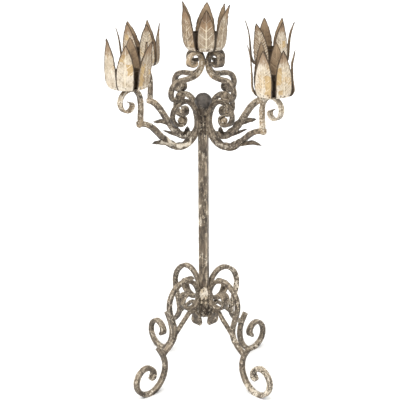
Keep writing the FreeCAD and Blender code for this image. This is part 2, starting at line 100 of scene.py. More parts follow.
# Leaves of each cup: direction in degrees from +X, height factor, tip bent outwards and sideways in millimetres, edge curl,
# bulge outwards at mid height in millimetres, tone of the paint (0 pale cream, 1 brown), strength of the painted veins.
LEAVES = {
    "centre": [(229.8, 0.937, 0.8, 0.0, 0.3, 0.0, 0.60, 0.85), (277.5, 1.023, 4.5, 8.1, 1.0, 0.5, 0.60, 0.6), (348.8, 0.971, -1.9, 0.5, -0.8, 0.0, 0.8, 0.6),
               (47.8, 0.971, 0.8, -4.8, 0.5, 0.0, 0.8, 0.6), (105.8, 1.021, 4.5, -0.4, -0.6, 0.0, 0.8, 0.6), (174.8, 1.015, -0.6, -5.7, 0.8, 2.0, 0.92, 0.65)],
    "back_right": [(131.8, 1.019, 3.3, 0.0, 0.6, 0.0, 0.95, 0.5), (198.8, 1.022, 0.8, -8.3, 1.2, 0.0, 0.7, 0.75), (259.8, 1.054, 0.8, -4.6, 0.4, 0.0, 0.36, 0.65),
                   (317.8, 0.978, 2.4, 0.0, -0.5, 0.0, 0.8, 0.5), (9.8, 1.018, 0.8, 2.4, 0.7, 0.0, 0.6, 0.6), (60.8, 1.008, 0.8, -2.3, -0.4, 0.0, 0.6, 0.6)],
    "back_left": [(138.8, 0.887, -4.2, 0.0, 0.2, 0.0, 0.6, 0.5), (200.8, 1.076, 0.8, 6.4, 1.0, 0.0, 0.56, 0.6), (252.8, 1.031, 0.8, 3.0, 0.6, 0.0, 0.06, 0.65),
                  (306.8, 0.996, 1.7, 0.0, 0.9, 0.0, 0.95, 0.5), (10.8, 0.983, 0.8, 9.3, -0.5, 0.0, 0.6, 0.6), (70.8, 0.961, 0.8, 2.1, 0.5, 0.0, 0.6, 0.6)],
    "front_left": [(174.8, 1.104, -0.5, 4.4, 0.5, 0.8, 0.18, 0.5), (222.3, 0.984, 0.8, 4.2, 0.2, 0.0, 0.16, 0.85), (280.3, 1.034, 6.0, 3.8, 1.1, 0.0, 0.62, 0.65),
                   (336.8, 0.949, -10.0, 0.0, -0.7, 0.0, 0.6, 0.6), (40.8, 0.977, 0.8, 3.3, 0.4, 0.0, 0.6, 0.6), (117.8, 0.845, -8.0, 0.0, -0.5, 0.0, 0.6, 0.6)],
    "front_right": [(135.8, 1.058, 0.6, 0.0, 0.4, 0.0, 0.95, 0.5), (193.8, 1.025, 0.8, 4.4, 0.3, 0.0, 0.0, 0.65), (252.3, 1.039, 0.8, -8.6, 0.9, 0.0, 0.06, 0.7),
                    (317.8, 0.952, -8.0, 0.0, 0.5, -5.0, 0.95, 0.5), (31.6, 1.029, 0.8, 6.1, -0.4, 0.0, 0.6, 0.8), (80.8, 1.043, 0.8, -6.4, 0.6, 0.0, 0.6, 0.6)],
}
# A few leaves are cut wider than the rest.
BROAD = {("front_left", 0): 1.08, ("front_left", 2): 1.07, ("front_right", 1): 1.05, ("centre", 5): 1.04, ("centre", 3): 1.13, ("centre", 1): 0.92}
# Where the brown of the tip begins, as a share of the leaf's height; 0.5 where nothing is said.
BROWN_FROM = {("back_left", 1): 0.56, ("back_left", 2): 0.70, ("back_right", 1): 0.72, ("back_right", 2): 0.55, ("front_left", 0): 0.55, ("centre", 0): 0.34}
# How brown the tip gets; 1 where nothing is said.
DEEP = {("centre", 0): 1.5, ("centre", 5): 1.25, ("front_left", 0): 1.15, ("front_left", 1): 0.8, ("back_right", 0): 0.4}
# Strength of the fine herringbone lines; 0.35 where nothing is said.
STRIPES = {("back_right", 1): 1.7, ("back_right", 2): 0.55, ("front_right", 1): 0.45, ("front_right", 2): 0.35, ("front_left", 0): 0.2, ("front_left", 1): 0.28,
           ("front_left", 2): 0.42, ("back_left", 1): 0.5, ("back_left", 2): 0.6, ("centre", 0): 0.22, ("centre", 1): 0.3, ("centre", 5): 0.45}
# Patches of bare ochre under-paint: height range and range across the leaf, left edge -1 to right edge 1.
PATCHES = {("front_right", 1): [(0.02, 0.52, 0.20, 1.1)],
           ("front_right", 2): [(0.29, 0.69, -1.2, -0.28), (0.09, 0.23, -0.85, -0.20)],
           ("front_left", 1): [(0.62, 0.80, -1.0, -0.05), (0.36, 0.58, 0.2, 1.0)],
           ("front_left", 2): [(0.06, 0.56, -0.92, -0.15), (0.30, 0.50, 0.35, 0.9)],
           ("back_left", 1): [(0.62, 0.74, -0.6, 0.1)],
           ("back_right", 2): [(0.46, 0.60, 0.15, 0.85)],
           ("centre", 3): [(0.2, 0.5, -0.6, 0.1)], ("back_right", 4): [(0.2, 0.55, -0.2, 0.7)], ("back_left", 5): [(0.3, 0.6, -0.8, 0.0)],
           ("front_left", 4): [(0.2, 0.5, -0.7, 0.2)], ("front_right", 4): [(0.25, 0.6, 0.0, 0.8)]}
# Depth in millimetres of the creases that run up a leaf; 0.45 where nothing is said.
CREASES = {("front_left", 2): 1.1, ("centre", 1): 1.2, ("centre", 5): 0.7, ("front_right", 2): 0.7, ("back_right", 2): 0.9, ("back_right", 1): 0.8, ("back_left", 2): 0.6}
# The back left cup leans a little: sideways shift of its leaf tips, in millimetres.
LEAN = {"back_left": (-6.0, 5.6)}
RISE = {"front_left": 6.0, "front_right": -7.0, "back_left": 0.0, "back_right": 2.0}
SWING = {"front_left": 0.0, "front_right": 1.5, "back_left": -3.5, "back_right": 2.0}
CROWN_SHIFT, CROWN_TURN, CROWN_FOOT = 4.0, -43.2, 588.0
CUP_REACH, CUP_HEIGHT, CENTRE_HEIGHT = 184.0, 622.4, 675.7
POST_SIDE, POST_TURN, POST_LOW, POST_HIGH = 16.3, 32.8, 128.0, 566.0
BALL_R, BALL_Z = 16.75, 576.0


# -------------------------------------------------------------------- noise
def lattice(ix, iy, iz, seed):
    """Repeatable random number 0..1 for each lattice point."""
    m = np.uint64(0xFFFFFFFF)
    n = ((ix.astype(np.int64) * 73856093) ^ (iy.astype(np.int64) * 19349663) ^ (iz.astype(np.int64) * 83492791) ^ (seed * 2654435))
    n = n.astype(np.uint64) & m
    n = ((n ^ (n >> np.uint64(15))) * np.uint64(2246822519)) & m
    n = ((n ^ (n >> np.uint64(13))) * np.uint64(3266489917)) & m
    n = n ^ (n >> np.uint64(16))
    return n.astype(float) / 4294967295.0


def noise3(p, size, seed=0):
    """Smooth noise -1..1 with features of about the given size."""
    q = np.asarray(p, float) / size + 300.0
    i = np.floor(q).astype(np.int64)
    f = q - i
    u = f * f * f * (f * (f * 6 - 15) + 10)
    total = np.zeros(len(q))
    for dx in (0, 1):
        for dy in (0, 1):
            for dz in (0, 1):
                w = (u[:, 0] if dx else 1 - u[:, 0]) * (u[:, 1] if dy else 1 - u[:, 1]) * (u[:, 2] if dz else 1 - u[:, 2])
                total += w * lattice(i[:, 0] + dx, i[:, 1] + dy, i[:, 2] + dz, seed)
    return total * 2 - 1


def fbm(p, size, seed=0, octaves=3):
    total, amp, norm = 0.0, 1.0, 0.0
    for k in range(octaves):
        total = total + amp * noise3(p, size / 2 ** k, seed + 31 * k)
        norm += amp
        amp *= 0.5
    return total / norm


def dents(p, size, seed=0):
    """Bowl-shaped hammer marks: 0 in the middle of a mark, about 1 on the ridges between marks."""
    q = np.asarray(p, float) / size + 300.0
    i = np.floor(q).astype(np.int64)
    best = np.full(len(q), 9.0)
    for dx in (-1, 0, 1):
        for dy in (-1, 0, 1):
            for dz in (-1, 0, 1):
                c = i + np.array([dx, dy, dz])
                f = np.stack([lattice(c[:, 0], c[:, 1], c[:, 2], seed + k) for k in (1, 2, 3)], 1)
                best = np.minimum(best, np.linalg.norm(c + f - q, axis=1))
    return np.clip(best, 0, 1)


def smooth(x, lo, hi):
    t = np.clip((np.asarray(x, float) - lo) / (hi - lo), 0, 1)
    return t * t * (3 - 2 * t)


# ------------------------------------------------------------ curves in a plane
def unit(deg):
    return (math.cos(math.radians(deg)), math.sin(math.radians(deg)))


def arc_from(p, t, q):
    wx, wy = q[0] - p[0], q[1] - p[1]
    side = -wx * t[1] + wy * t[0]
    if abs(side) < 1e-7:
        return (p, q, None, 0.0)
    rad = (wx * wx + wy * wy) / (2.0 * side)
    return (p, q, (p[0] - t[1] * rad, p[1] + t[0] * rad), rad)


def biarcs(table):
    """Chain of tangent arcs through the table's points with its headings."""
    chain = []
    for (x0, y0, a0), (x1, y1, a1) in zip(table, table[1:]):
        t0, t1 = unit(a0), unit(a1)
        vx, vy = x1 - x0, y1 - y0
        vv = vx * vx + vy * vy
        vt = vx * (t0[0] + t1[0]) + vy * (t0[1] + t1[1])
        k = 2.0 * (1.0 - (t0[0] * t1[0] + t0[1] * t1[1]))
        d = vv / (2.0 * vt) if k < 1e-9 else (-vt + math.sqrt(vt * vt + k * vv)) / k
        mid = ((x0 + x1 + d * (t0[0] - t1[0])) / 2.0, (y0 + y1 + d * (t0[1] - t1[1])) / 2.0)
        chain.append(arc_from((x0, y0), t0, mid))
        back = arc_from((x1, y1), (-t1[0], -t1[1]), mid)
        chain.append((mid, (x1, y1), back[2], -back[3]))
    return chain


def walk(table, step):
    """Evenly spaced (r, z, heading in radians, distance from the start) along a centre line."""
    rows, turn_so_far = [], None
    for p, q, c, rad in biarcs(table):
        if c is None:
            a = math.atan2(q[1] - p[1], q[0] - p[0])
            part = [(p[0] + (q[0] - p[0]) * k / 8, p[1] + (q[1] - p[1]) * k / 8, a) for k in range(9)]
        else:
            a0 = math.atan2(p[1] - c[1], p[0] - c[0])
            turn = math.atan2(q[1] - c[1], q[0] - c[0]) - a0
            if rad > 0 and turn < 0:
                turn += 2 * math.pi
            if rad < 0 and turn > 0:
                turn -= 2 * math.pi
            part = []
            for k in range(13):
                a = a0 + turn * k / 12
                part.append((c[0] + abs(rad) * math.cos(a), c[1] + abs(rad) * math.sin(a),
                             a + (math.pi / 2 if rad > 0 else -math.pi / 2)))
        rows += part if not rows else part[1:]
    rows = np.array(rows)
    head = np.unwrap(rows[:, 2])
    run = np.concatenate([[0], np.cumsum(np.hypot(np.diff(rows[:, 0]), np.diff(rows[:, 1])))])
    n = max(8, int(round(run[-1] / step)))
    s = np.linspace(0, run[-1], n + 1)
    return np.stack([np.interp(s, run, rows[:, 0]), np.interp(s, run, rows[:, 1]), np.interp(s, run, head), s], 1)


def spline(points, n):
    """Catmull-Rom curve through the points, with n samples evenly spaced by length."""
    p = np.asarray(points, float)
    ext = np.vstack([2 * p[0] - p[1], p, 2 * p[-1] - p[-2]])
    out = []
    for k in range(len(p) - 1):
        a, b, c, d = ext[k:k + 4]
        t = np.linspace(0, 1, 24, endpoint=False)[:, None]
        out.append(0.5 * (2 * b + (c - a) * t + (2 * a - 5 * b + 4 * c - d) * t ** 2 + (3 * b - a - 3 * c + d) * t ** 3))
    out = np.vstack(out + [p[-1:]])
    run = np.concatenate([[0], np.cumsum(np.linalg.norm(np.diff(out, axis=0), axis=1))])
    s = np.linspace(0, run[-1], n)
    return np.stack([np.interp(s, run, out[:, k]) for k in range(out.shape[1])], 1)


def eased(s, knots):
    """Value at s of a profile given as (distance, value) knots, eased between them."""
    at = np.array([k[0] for k in knots], float)
    val = np.array([k[1] for k in knots], float)
    j = np.clip(np.searchsorted(at, s, side="right") - 1, 0, len(at) - 2)
    t = np.clip((s - at[j]) / (at[j + 1] - at[j]), 0, 1)
    t = t * t * (3 - 2 * t)
    return val[j] + (val[j + 1] - val[j]) * t


def turn_z(p, deg):
    c, s = math.cos(math.radians(deg)), math.sin(math.radians(deg))
    return np.stack([p[:, 0] * c - p[:, 1] * s, p[:, 0] * s + p[:, 1] * c, p[:, 2]], 1)


# ---------------------------------------------------------------- mesh collecting
class Shape:
    """Closed shells of one piece, in millimetres, with per-point paint values."""

    def __init__(self):
        self.verts, self.faces, self.values, self.count = [], [], [], 0

    def add(self, verts, faces, edge=0.0, cream=0.0, dark=0.0, vein=0.0, tone=0.0, groove=0.0, patch=0.0):
        n = len(verts)
        self.verts.append(np.asarray(verts, float))
        self.faces += [tuple(i + self.count for i in f) for f in faces]
        self.values.append(np.stack([np.broadcast_to(np.asarray(v, float), (n,)) for v in (edge, cream, dark, vein, tone, groove, patch)], 1))
        self.count += n

    def points(self):
        return np.vstack(self.verts)

    def build(self, name, material, body, node, slot):
        mesh = bpy.data.meshes.new(name)
        mesh.from_pydata((self.points() * 0.001).tolist(), [], self.faces)
        values = np.vstack(self.values)
        for k, key in enumerate(("edge", "cream", "dark", "vein", "tone", "groove", "patch")):
            attr = mesh.attributes.new(key, "FLOAT", "POINT")
            attr.data.foreach_set("value", values[:, k].astype(np.float32))
        mesh.polygons.foreach_set("use_smooth", [True] * len(mesh.polygons))
        mesh.update()
        mesh.validate()
        mesh.materials.append(material)
        obj = bpy.data.objects.new(name, mesh)
        bpy.context.scene.collection.objects.link(obj)
        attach(obj, body)
        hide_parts(node)
        return obj


def tube_faces(rings, around):
    """Quads of a tube of closed rings, and fans to one centre point at each end."""
    faces = []
    for i in range(rings - 1):
        a, b = i * around, (i + 1) * around
        for j in range(around):
            k = (j + 1) % around
            faces.append((a + j, a + k, b + k, b + j))
    first, last, top = rings * around, rings * around + 1, (rings - 1) * around
    for j in range(around):
        k = (j + 1) % around
        faces.append((first, k, j))
        faces.append((last, top + j, top + k))
    return faces


SIDE_STEPS, CORNER_STEPS = 4, 4


def section(ht, hw, rc):
    """Rounded rectangle for every ring: (across the plane's normal, across the bar), outward normals, corner value."""
    pts, nrm, cor = [], [], []
    signs = [(1, 1), (-1, 1), (-1, -1), (1, -1)]
    for k, (sx, sy) in enumerate(signs):
        for i in range(CORNER_STEPS):
            phi = math.radians(90 * k + 90 * (i + 0.5) / CORNER_STEPS)
            c, s = math.cos(phi), math.sin(phi)
            pts.append((sx * (ht - rc) + rc * c, sy * (hw - rc) + rc * s))
            nrm.append((c, s))
            cor.append(1.0 - 0.25 * abs(2 * (i + 0.5) / CORNER_STEPS - 1))
        nx, ny = signs[(k + 1) % 4]
        side_n = [(0, 1), (-1, 0), (0, -1), (1, 0)][k]
        for i in range(1, SIDE_STEPS):
            f = i / SIDE_STEPS
            ax, ay = sx * (ht - rc) + rc * side_n[0], sy * (hw - rc) + rc * side_n[1]
            bx, by = nx * (ht - rc) + rc * side_n[0], ny * (hw - rc) + rc * side_n[1]
            pts.append((ax + (bx - ax) * f, ay + (by - ay) * f))
            nrm.append(side_n)
            cor.append(0.35 * (2 * f - 1) ** 2)
    x = np.stack([np.broadcast_to(p[0], ht.shape) for p in pts], 1)
    y = np.stack([np.broadcast_to(p[1], ht.shape) for p in pts], 1)
    return x, y, np.array(nrm), np.array(cor)


def forged(shape, rows, thick, width, seed, place, step=1.5, hammer=0.42, rc=1.7, cream=None, chips=None, roll=None):
    """A hand-forged bar along a centre line, with rounded ends, hammer marks and slightly uneven section.

    thick and width are profiles of (distance, full size); place turns local (r, across, z) points into the frame."""
    line = walk(rows, step)
    length = line[-1, 3]
    fix = lambda knots: [(length + s if s < 0 else min(s, length), v) for s, v in knots]
    keep = (line[:, 3] > rc * 0.9) & (line[:, 3] < length - rc * 0.9)
    line = line[keep]
    s = line[:, 3]
    ht, hw = eased(s, fix(thick)) / 2, eased(s, fix(width)) / 2
    # rounded ends: the first and last sections close in over the last millimetre or two
    head, tail = line[0], line[-1]
    lead, trail = [], []
    for far in (1.0, 0.87, 0.5):
        off = rc * 0.9 * far
        lead.append((head[0] - math.cos(head[2]) * off, head[1] - math.sin(head[2]) * off, head[2], head[3] - off))
        trail.append((tail[0] + math.cos(tail[2]) * off, tail[1] + math.sin(tail[2]) * off, tail[2], tail[3] + off))
    line = np.vstack([np.array(lead), line, np.array(trail[::-1])])
    inset = np.array([0.95, 0.5, 0.12])
    first, last = min(rc, 0.85 * ht[0], 0.85 * hw[0]), min(rc, 0.85 * ht[-1], 0.85 * hw[-1])
    ht = np.concatenate([ht[0] - first * inset, ht, (ht[-1] - last * inset)[::-1]])
    hw = np.concatenate([hw[0] - first * inset, hw, (hw[-1] - last * inset)[::-1]])
    corner = np.minimum(rc, 0.47 * np.minimum(ht, hw) * 2)
    corner = np.minimum(corner, 0.9 * np.minimum(ht, hw))
    x, y, nrm, cor = section(ht, hw, corner)
    a = line[:, 2]
    tx, tz = np.cos(a), np.sin(a)
    nx, nz = -tz, tx
    wob = noise3(np.stack([line[:, 3], np.full(len(line), seed * 7.7), np.zeros(len(line))], 1), 26.0, seed) * 0.28
    if roll is not None:
        w = eased(line[:, 3], fix(roll))
        cw, sw = np.cos(w)[:, None], np.sin(w)[:, None]
        x, y = x * cw - y * sw, x * sw + y * cw
    r = line[:, 0, None] + nx[:, None] * (x + wob[:, None])
    z = line[:, 1, None] + nz[:, None] * (x + wob[:, None])
    local = np.stack([r.ravel(), y.ravel(), z.ravel()], 1)
    normal = np.stack([(nx[:, None] * nrm[None, :, 0]).ravel(), np.tile(nrm[:, 1], len(line)), (nz[:, None] * nrm[None, :, 0]).ravel()], 1)
    q = local + np.array([seed * 37.0, seed * 11.0, seed * 53.0])
    cut = hammer * (dents(q, 7.5, seed) - 0.62) * 1.25 + 0.16 * fbm(q, 3.0, seed + 5, 2)
    soft = np.repeat(np.minimum(1.0, np.minimum(ht, hw) / 3.0), x.shape[1])
    local = local + normal * (cut * soft)[:, None]
    ends = np.array([[head[0] - math.cos(head[2]) * rc * 0.95, 0.0, head[1] - math.sin(head[2]) * rc * 0.95],
                     [tail[0] + math.cos(tail[2]) * rc * 0.95, 0.0, tail[1] + math.sin(tail[2]) * rc * 0.95]])
    pts = place(np.vstack([local, ends]))
    edge = np.concatenate([np.tile(cor, len(line)) + np.repeat(np.where((np.arange(len(line)) < 3) | (np.arange(len(line)) >= len(line) - 3), 0.5, 0.0), x.shape[1]), [0.3, 0.3]])
    tone = 0.0 if cream is None else np.concatenate([np.repeat(eased(line[:, 3], fix(cream)), x.shape[1]), [0, 0]])
    flecks = 0.0 if chips is None else np.concatenate([np.repeat(eased(line[:, 3], fix(chips)), x.shape[1]), [0, 0]])
    # Painted light and shade: downward-facing faces get a dark value that the paint turns into painted shade.
    # Upward-facing faces get a value that the paint lightens as painted light. The rubbed-edge value is weighted
    # towards the upper edges as a painted highlight.
    up = np.concatenate([normal[:, 2], [0, 0]])
    edge = edge * (0.3 + 0.7 * smooth(up, -0.45, 0.35))
    shape.add(pts, tube_faces(len(line), x.shape[1]), edge=np.clip(edge, 0, 1), cream=tone, tone=flecks,
              dark=0.68 * smooth(-up, 0.05, 0.8), groove=smooth(up, 0.25, 0.9))


def lump(shape, centre, size, seed, around=18, rings=11, rough=0.35, cream=0.6, axis=None):
    """A rounded blob of weld metal."""
    th = np.linspace(0, math.pi, rings)[1:-1]
    ph = np.linspace(0, 2 * math.pi, around, endpoint=False)
    d = np.stack([np.outer(np.sin(th), np.cos(ph)).ravel(), np.outer(np.sin(th), np.sin(ph)).ravel(), np.repeat(np.cos(th), around)], 1)
    d = np.vstack([d, [[0, 0, 1], [0, 0, -1]]])
    bump = 1 + rough * fbm(d * 2.2 + seed * 3.1, 1.0, seed, 3)
    v = d * bump[:, None] * np.asarray(size)[None, :]
    if axis is not None:
        rot = Vector((0, 0, 1)).rotation_difference(Vector(axis)).to_matrix()
        v = v @ np.array(rot).T
    faces = tube_faces(rings - 2, around)
    faces = [f[::-1] for f in faces]
    shape.add(v + np.asarray(centre), faces, edge=0.4, cream=cream)


# -------------------------------------------------------------------- materials
def lin(r, g, b):
    return tuple(((c / 255) / 12.92 if c / 255 <= 0.04045 else ((c / 255 + 0.055) / 1.055) ** 2.4) for c in (r, g, b)) + (1.0,)


class Paint:
    """Small helper that adds shader nodes and links them."""

    def __init__(self, name):
        self.mat = bpy.data.materials.new(name)
        self.mat.use_nodes = True
        self.tree = self.mat.node_tree
        self.tree.nodes.clear()
        self.out = self.tree.nodes.new("ShaderNodeOutputMaterial")
        self.bsdf = self.tree.nodes.new("ShaderNodeBsdfPrincipled")
        self.tree.links.new(self.bsdf.outputs["BSDF"], self.out.inputs["Surface"])
        self.coord = self.tree.nodes.new("ShaderNodeTexCoord").outputs["Object"]

    def put(self, socket, value):
        if isinstance(value, bpy.types.NodeSocket):
            self.tree.links.new(value, socket)
        else:
            socket.default_value = value

    def noise(self, size_mm, detail=3.0, rough=0.55, coord=None, distort=0.0):
        n = self.tree.nodes.new("ShaderNodeTexNoise")
        self.put(n.inputs["Vector"], coord or self.coord)
        n.inputs["Scale"].default_value = 1000.0 / size_mm
        n.inputs["Detail"].default_value = detail
        n.inputs["Roughness"].default_value = rough
        n.inputs["Distortion"].default_value = distort
        return n.outputs["Fac"]

    def cells(self, size_mm, coord=None, feature="F1", jitter=1.0):
        n = self.tree.nodes.new("ShaderNodeTexVoronoi")
        n.feature = feature
        self.put(n.inputs["Vector"], coord or self.coord)
        n.inputs["Scale"].default_value = 1000.0 / size_mm
        n.inputs["Randomness"].default_value = jitter
        return n.outputs["Distance"]

    def shift(self, offset, scale=(1, 1, 1), rot=(0, 0, 0)):
        n = self.tree.nodes.new("ShaderNodeMapping")
        self.put(n.inputs["Vector"], self.coord)
        n.inputs["Location"].default_value = offset
        n.inputs["Scale"].default_value = scale
        n.inputs["Rotation"].default_value = rot
        return n.outputs["Vector"]

    def value(self, key):
        n = self.tree.nodes.new("ShaderNodeAttribute")
        n.attribute_name = key
        return n.outputs["Fac"]

    def math(self, op, a, b=0.0, clamp=False):
        n = self.tree.nodes.new("ShaderNodeMath")
        n.operation = op
        n.use_clamp = clamp
        self.put(n.inputs[0], a)
        self.put(n.inputs[1], b)
        return n.outputs[0]

    def total(self, *terms):
        out = None
        for sock, weight in terms:
            part = self.math("MULTIPLY", sock, weight)
            out = part if out is None else self.math("ADD", out, part)
        return out

    def step(self, sock, lo, hi, to_lo=0.0, to_hi=1.0):
        n = self.tree.nodes.new("ShaderNodeMapRange")
        n.interpolation_type = "SMOOTHSTEP"
        self.put(n.inputs["Value"], sock)
        n.inputs["From Min"].default_value = lo
        n.inputs["From Max"].default_value = hi
        n.inputs["To Min"].default_value = to_lo
        n.inputs["To Max"].default_value = to_hi
        return n.outputs["Result"]

    def mix(self, fac, a, b, mode="MIX"):
        n = self.tree.nodes.new("ShaderNodeMix")
        n.data_type = "RGBA"
        n.blend_type = mode
        n.clamp_factor = True
        self.put(n.inputs["Factor"], fac)
        self.put(n.inputs[6], a)
        self.put(n.inputs[7], b)
        return n.outputs[2]

    def finish(self, color, rough, height, strength, distance_mm, specular=0.35, metallic=0.0):
        self.put(self.bsdf.inputs["Base Color"], color)
        self.put(self.bsdf.inputs["Roughness"], rough)
        self.bsdf.inputs["Specular IOR Level"].default_value = specular
        self.bsdf.inputs["Metallic"].default_value = metallic
        bump = self.tree.nodes.new("ShaderNodeBump")
        bump.inputs["Strength"].default_value = strength
        bump.inputs["Distance"].default_value = distance_mm * 0.001
        self.put(bump.inputs["Height"], height)
        self.tree.links.new(bump.outputs["Normal"], self.bsdf.inputs["Normal"])
        return self.mat


CREAM, IVORY, OCHRE = lin(192, 177, 153), lin(221, 212, 197), lin(188, 157, 109)
TAUPE, TAUPE_LIGHT, UMBER, SOOT = lin(102, 90, 76), lin(158, 143, 122), lin(62, 53, 44), lin(34, 28, 23)
TAN, RUST = lin(170, 149, 121), lin(100, 78, 58)


def iron_paint(name, cream_bias=0.0, streak=False):
    """Taupe paint over iron, rubbed to dark metal in places, with a thin tan wash and chipped remains of cream paint;
    upward faces lighter as painted light, downward faces darker as painted shade.
    """
    m = Paint(name)
    stretch = (1, 1, 0.3) if streak else (1, 1, 1)
    big, mid, fine = m.noise(34, 3), m.noise(8.5, 4, 0.62, m.shift((0, 0, 0), stretch)), m.noise(3.0, 4, 0.65, m.shift((0.1, 0.3, 0.2), stretch))
    far = m.noise(24, 3, 0.55, m.shift((0.31, 0.17, 0.53)))
    chips = m.noise(4.0, 5, 0.68, m.shift((0.7, 0.2, 0.1), stretch), 0.3)
    edge, cream, dark = m.value("edge"), m.value("cream"), m.value("dark")
    base = m.mix(m.step(m.total((big, 0.3), (mid, 0.4), (fine, 0.3)), 0.41, 0.58), UMBER, TAUPE)
    base = m.mix(m.step(m.total((far, 0.25), (mid, 0.35), (fine, 0.4)), 0.51, 0.62, 0.0, 0.85), base, TAUPE_LIGHT)
    base = m.mix(m.step(m.total((far, 0.6), (fine, 0.4)), 0.41, 0.31, 0.0, 0.6), base, RUST)
    # painted light: the bars' upward-facing faces are lightened towards light taupe
    base = m.mix(m.math("MULTIPLY", m.value("groove"), m.step(m.total((mid, 0.5), (fine, 0.5)), 0.38, 0.58, 0.1, 0.6)), base, TAUPE_LIGHT)
    # rubbed light edges, real wear that on the bars is weighted to the upper edges as a painted highlight
    base = m.mix(m.math("MULTIPLY", edge, m.step(m.total((mid, 0.5), (fine, 0.5)), 0.42, 0.60, 0.05, 0.75)), base, lin(178, 163, 141))
    wash = m.total((cream, 1.0), (mid, 0.7), (fine, 0.7), (far, 0.3))
    base = m.mix(m.step(wash, 1.12, 1.62, 0.0, 0.85), base, TAN)
    # chips lie around 1.9 with a spread of about 0.35; paint stays where the sum passes the step
    chip = m.total((chips, 2.4), (fine, 0.7), (far, 0.9), (edge, 0.12), (cream, 0.40), (m.value("tone"), 0.50))
    chip = m.math("ADD", chip, cream_bias)
    paint = m.step(chip, 2.36, 2.48)
    color = m.mix(paint, base, m.mix(m.step(mid, 0.38, 0.62), CREAM, IVORY))
    spots = m.math("MULTIPLY", m.step(m.cells(5.2, m.shift((0.2, 0.4, 0.9))), 0.30, 0.16), m.step(far, 0.48, 0.6))
    spots = m.math("MAXIMUM", spots, m.step(m.total((mid, 0.6), (fine, 0.4)), 0.43, 0.34, 0.0, 0.8))
    color = m.mix(m.math("MULTIPLY", spots, 0.7), color, SOOT)
    # painted shade: the dark value darkens the bars' downward-facing faces towards soot
    color = m.mix(m.math("MULTIPLY", dark, 0.8), color, SOOT)
    rough = m.math("ADD", m.total((fine, 0.3), (paint, 0.12)), 0.42)
    height = m.total((paint, 0.6), (fine, 0.5), (mid, 0.5))
    return m.finish(color, rough, height, 0.75, 0.6, 0.36)


def sheath_paint(name):
    """Smooth run of cream paint over taupe where the value is high, darker in lumps where the dark value is high."""
    m = Paint(name)
    mid, fine = m.noise(9, 4, 0.6), m.noise(2.8, 4, 0.62)
    far = m.noise(24, 3, 0.55, m.shift((0.61, 0.27, 0.43)))
    edge, cream, dark = m.value("edge"), m.value("cream"), m.value("dark")
    base = m.mix(m.step(m.total((far, 0.3), (mid, 0.4), (fine, 0.3)), 0.40, 0.58), UMBER, TAUPE)
    base = m.mix(m.step(m.total((mid, 0.5), (fine, 0.5)), 0.50, 0.62, 0.0, 0.8), base, TAUPE_LIGHT)
    paint = m.step(m.total((cream, 1.0), (mid, 0.9), (fine, 0.5), (far, 0.5)), 1.38, 1.72)
    color = m.mix(paint, base, m.mix(m.step(m.total((mid, 0.5), (fine, 0.5)), 0.42, 0.58), CREAM, IVORY))
    color = m.mix(m.step(m.total((mid, 0.6), (fine, 0.4)), 0.42, 0.35, 0.0, 0.75), color, SOOT)
    color = m.mix(m.math("MULTIPLY", edge, m.step(fine, 0.4, 0.6, 0.1, 0.5)), color, UMBER)
    # darker where the dark value is high: in lumps along the underside of the trough and towards the tips of the free
    # leaves
    color = m.mix(m.math("MULTIPLY", dark, 0.8), color, SOOT)
    rough = m.math("ADD", m.total((fine, 0.3), (paint, 0.1)), 0.44)
    return m.finish(color, rough, m.total((paint, 0.5), (fine, 0.5), (mid, 0.5)), 0.5, 0.45, 0.34)


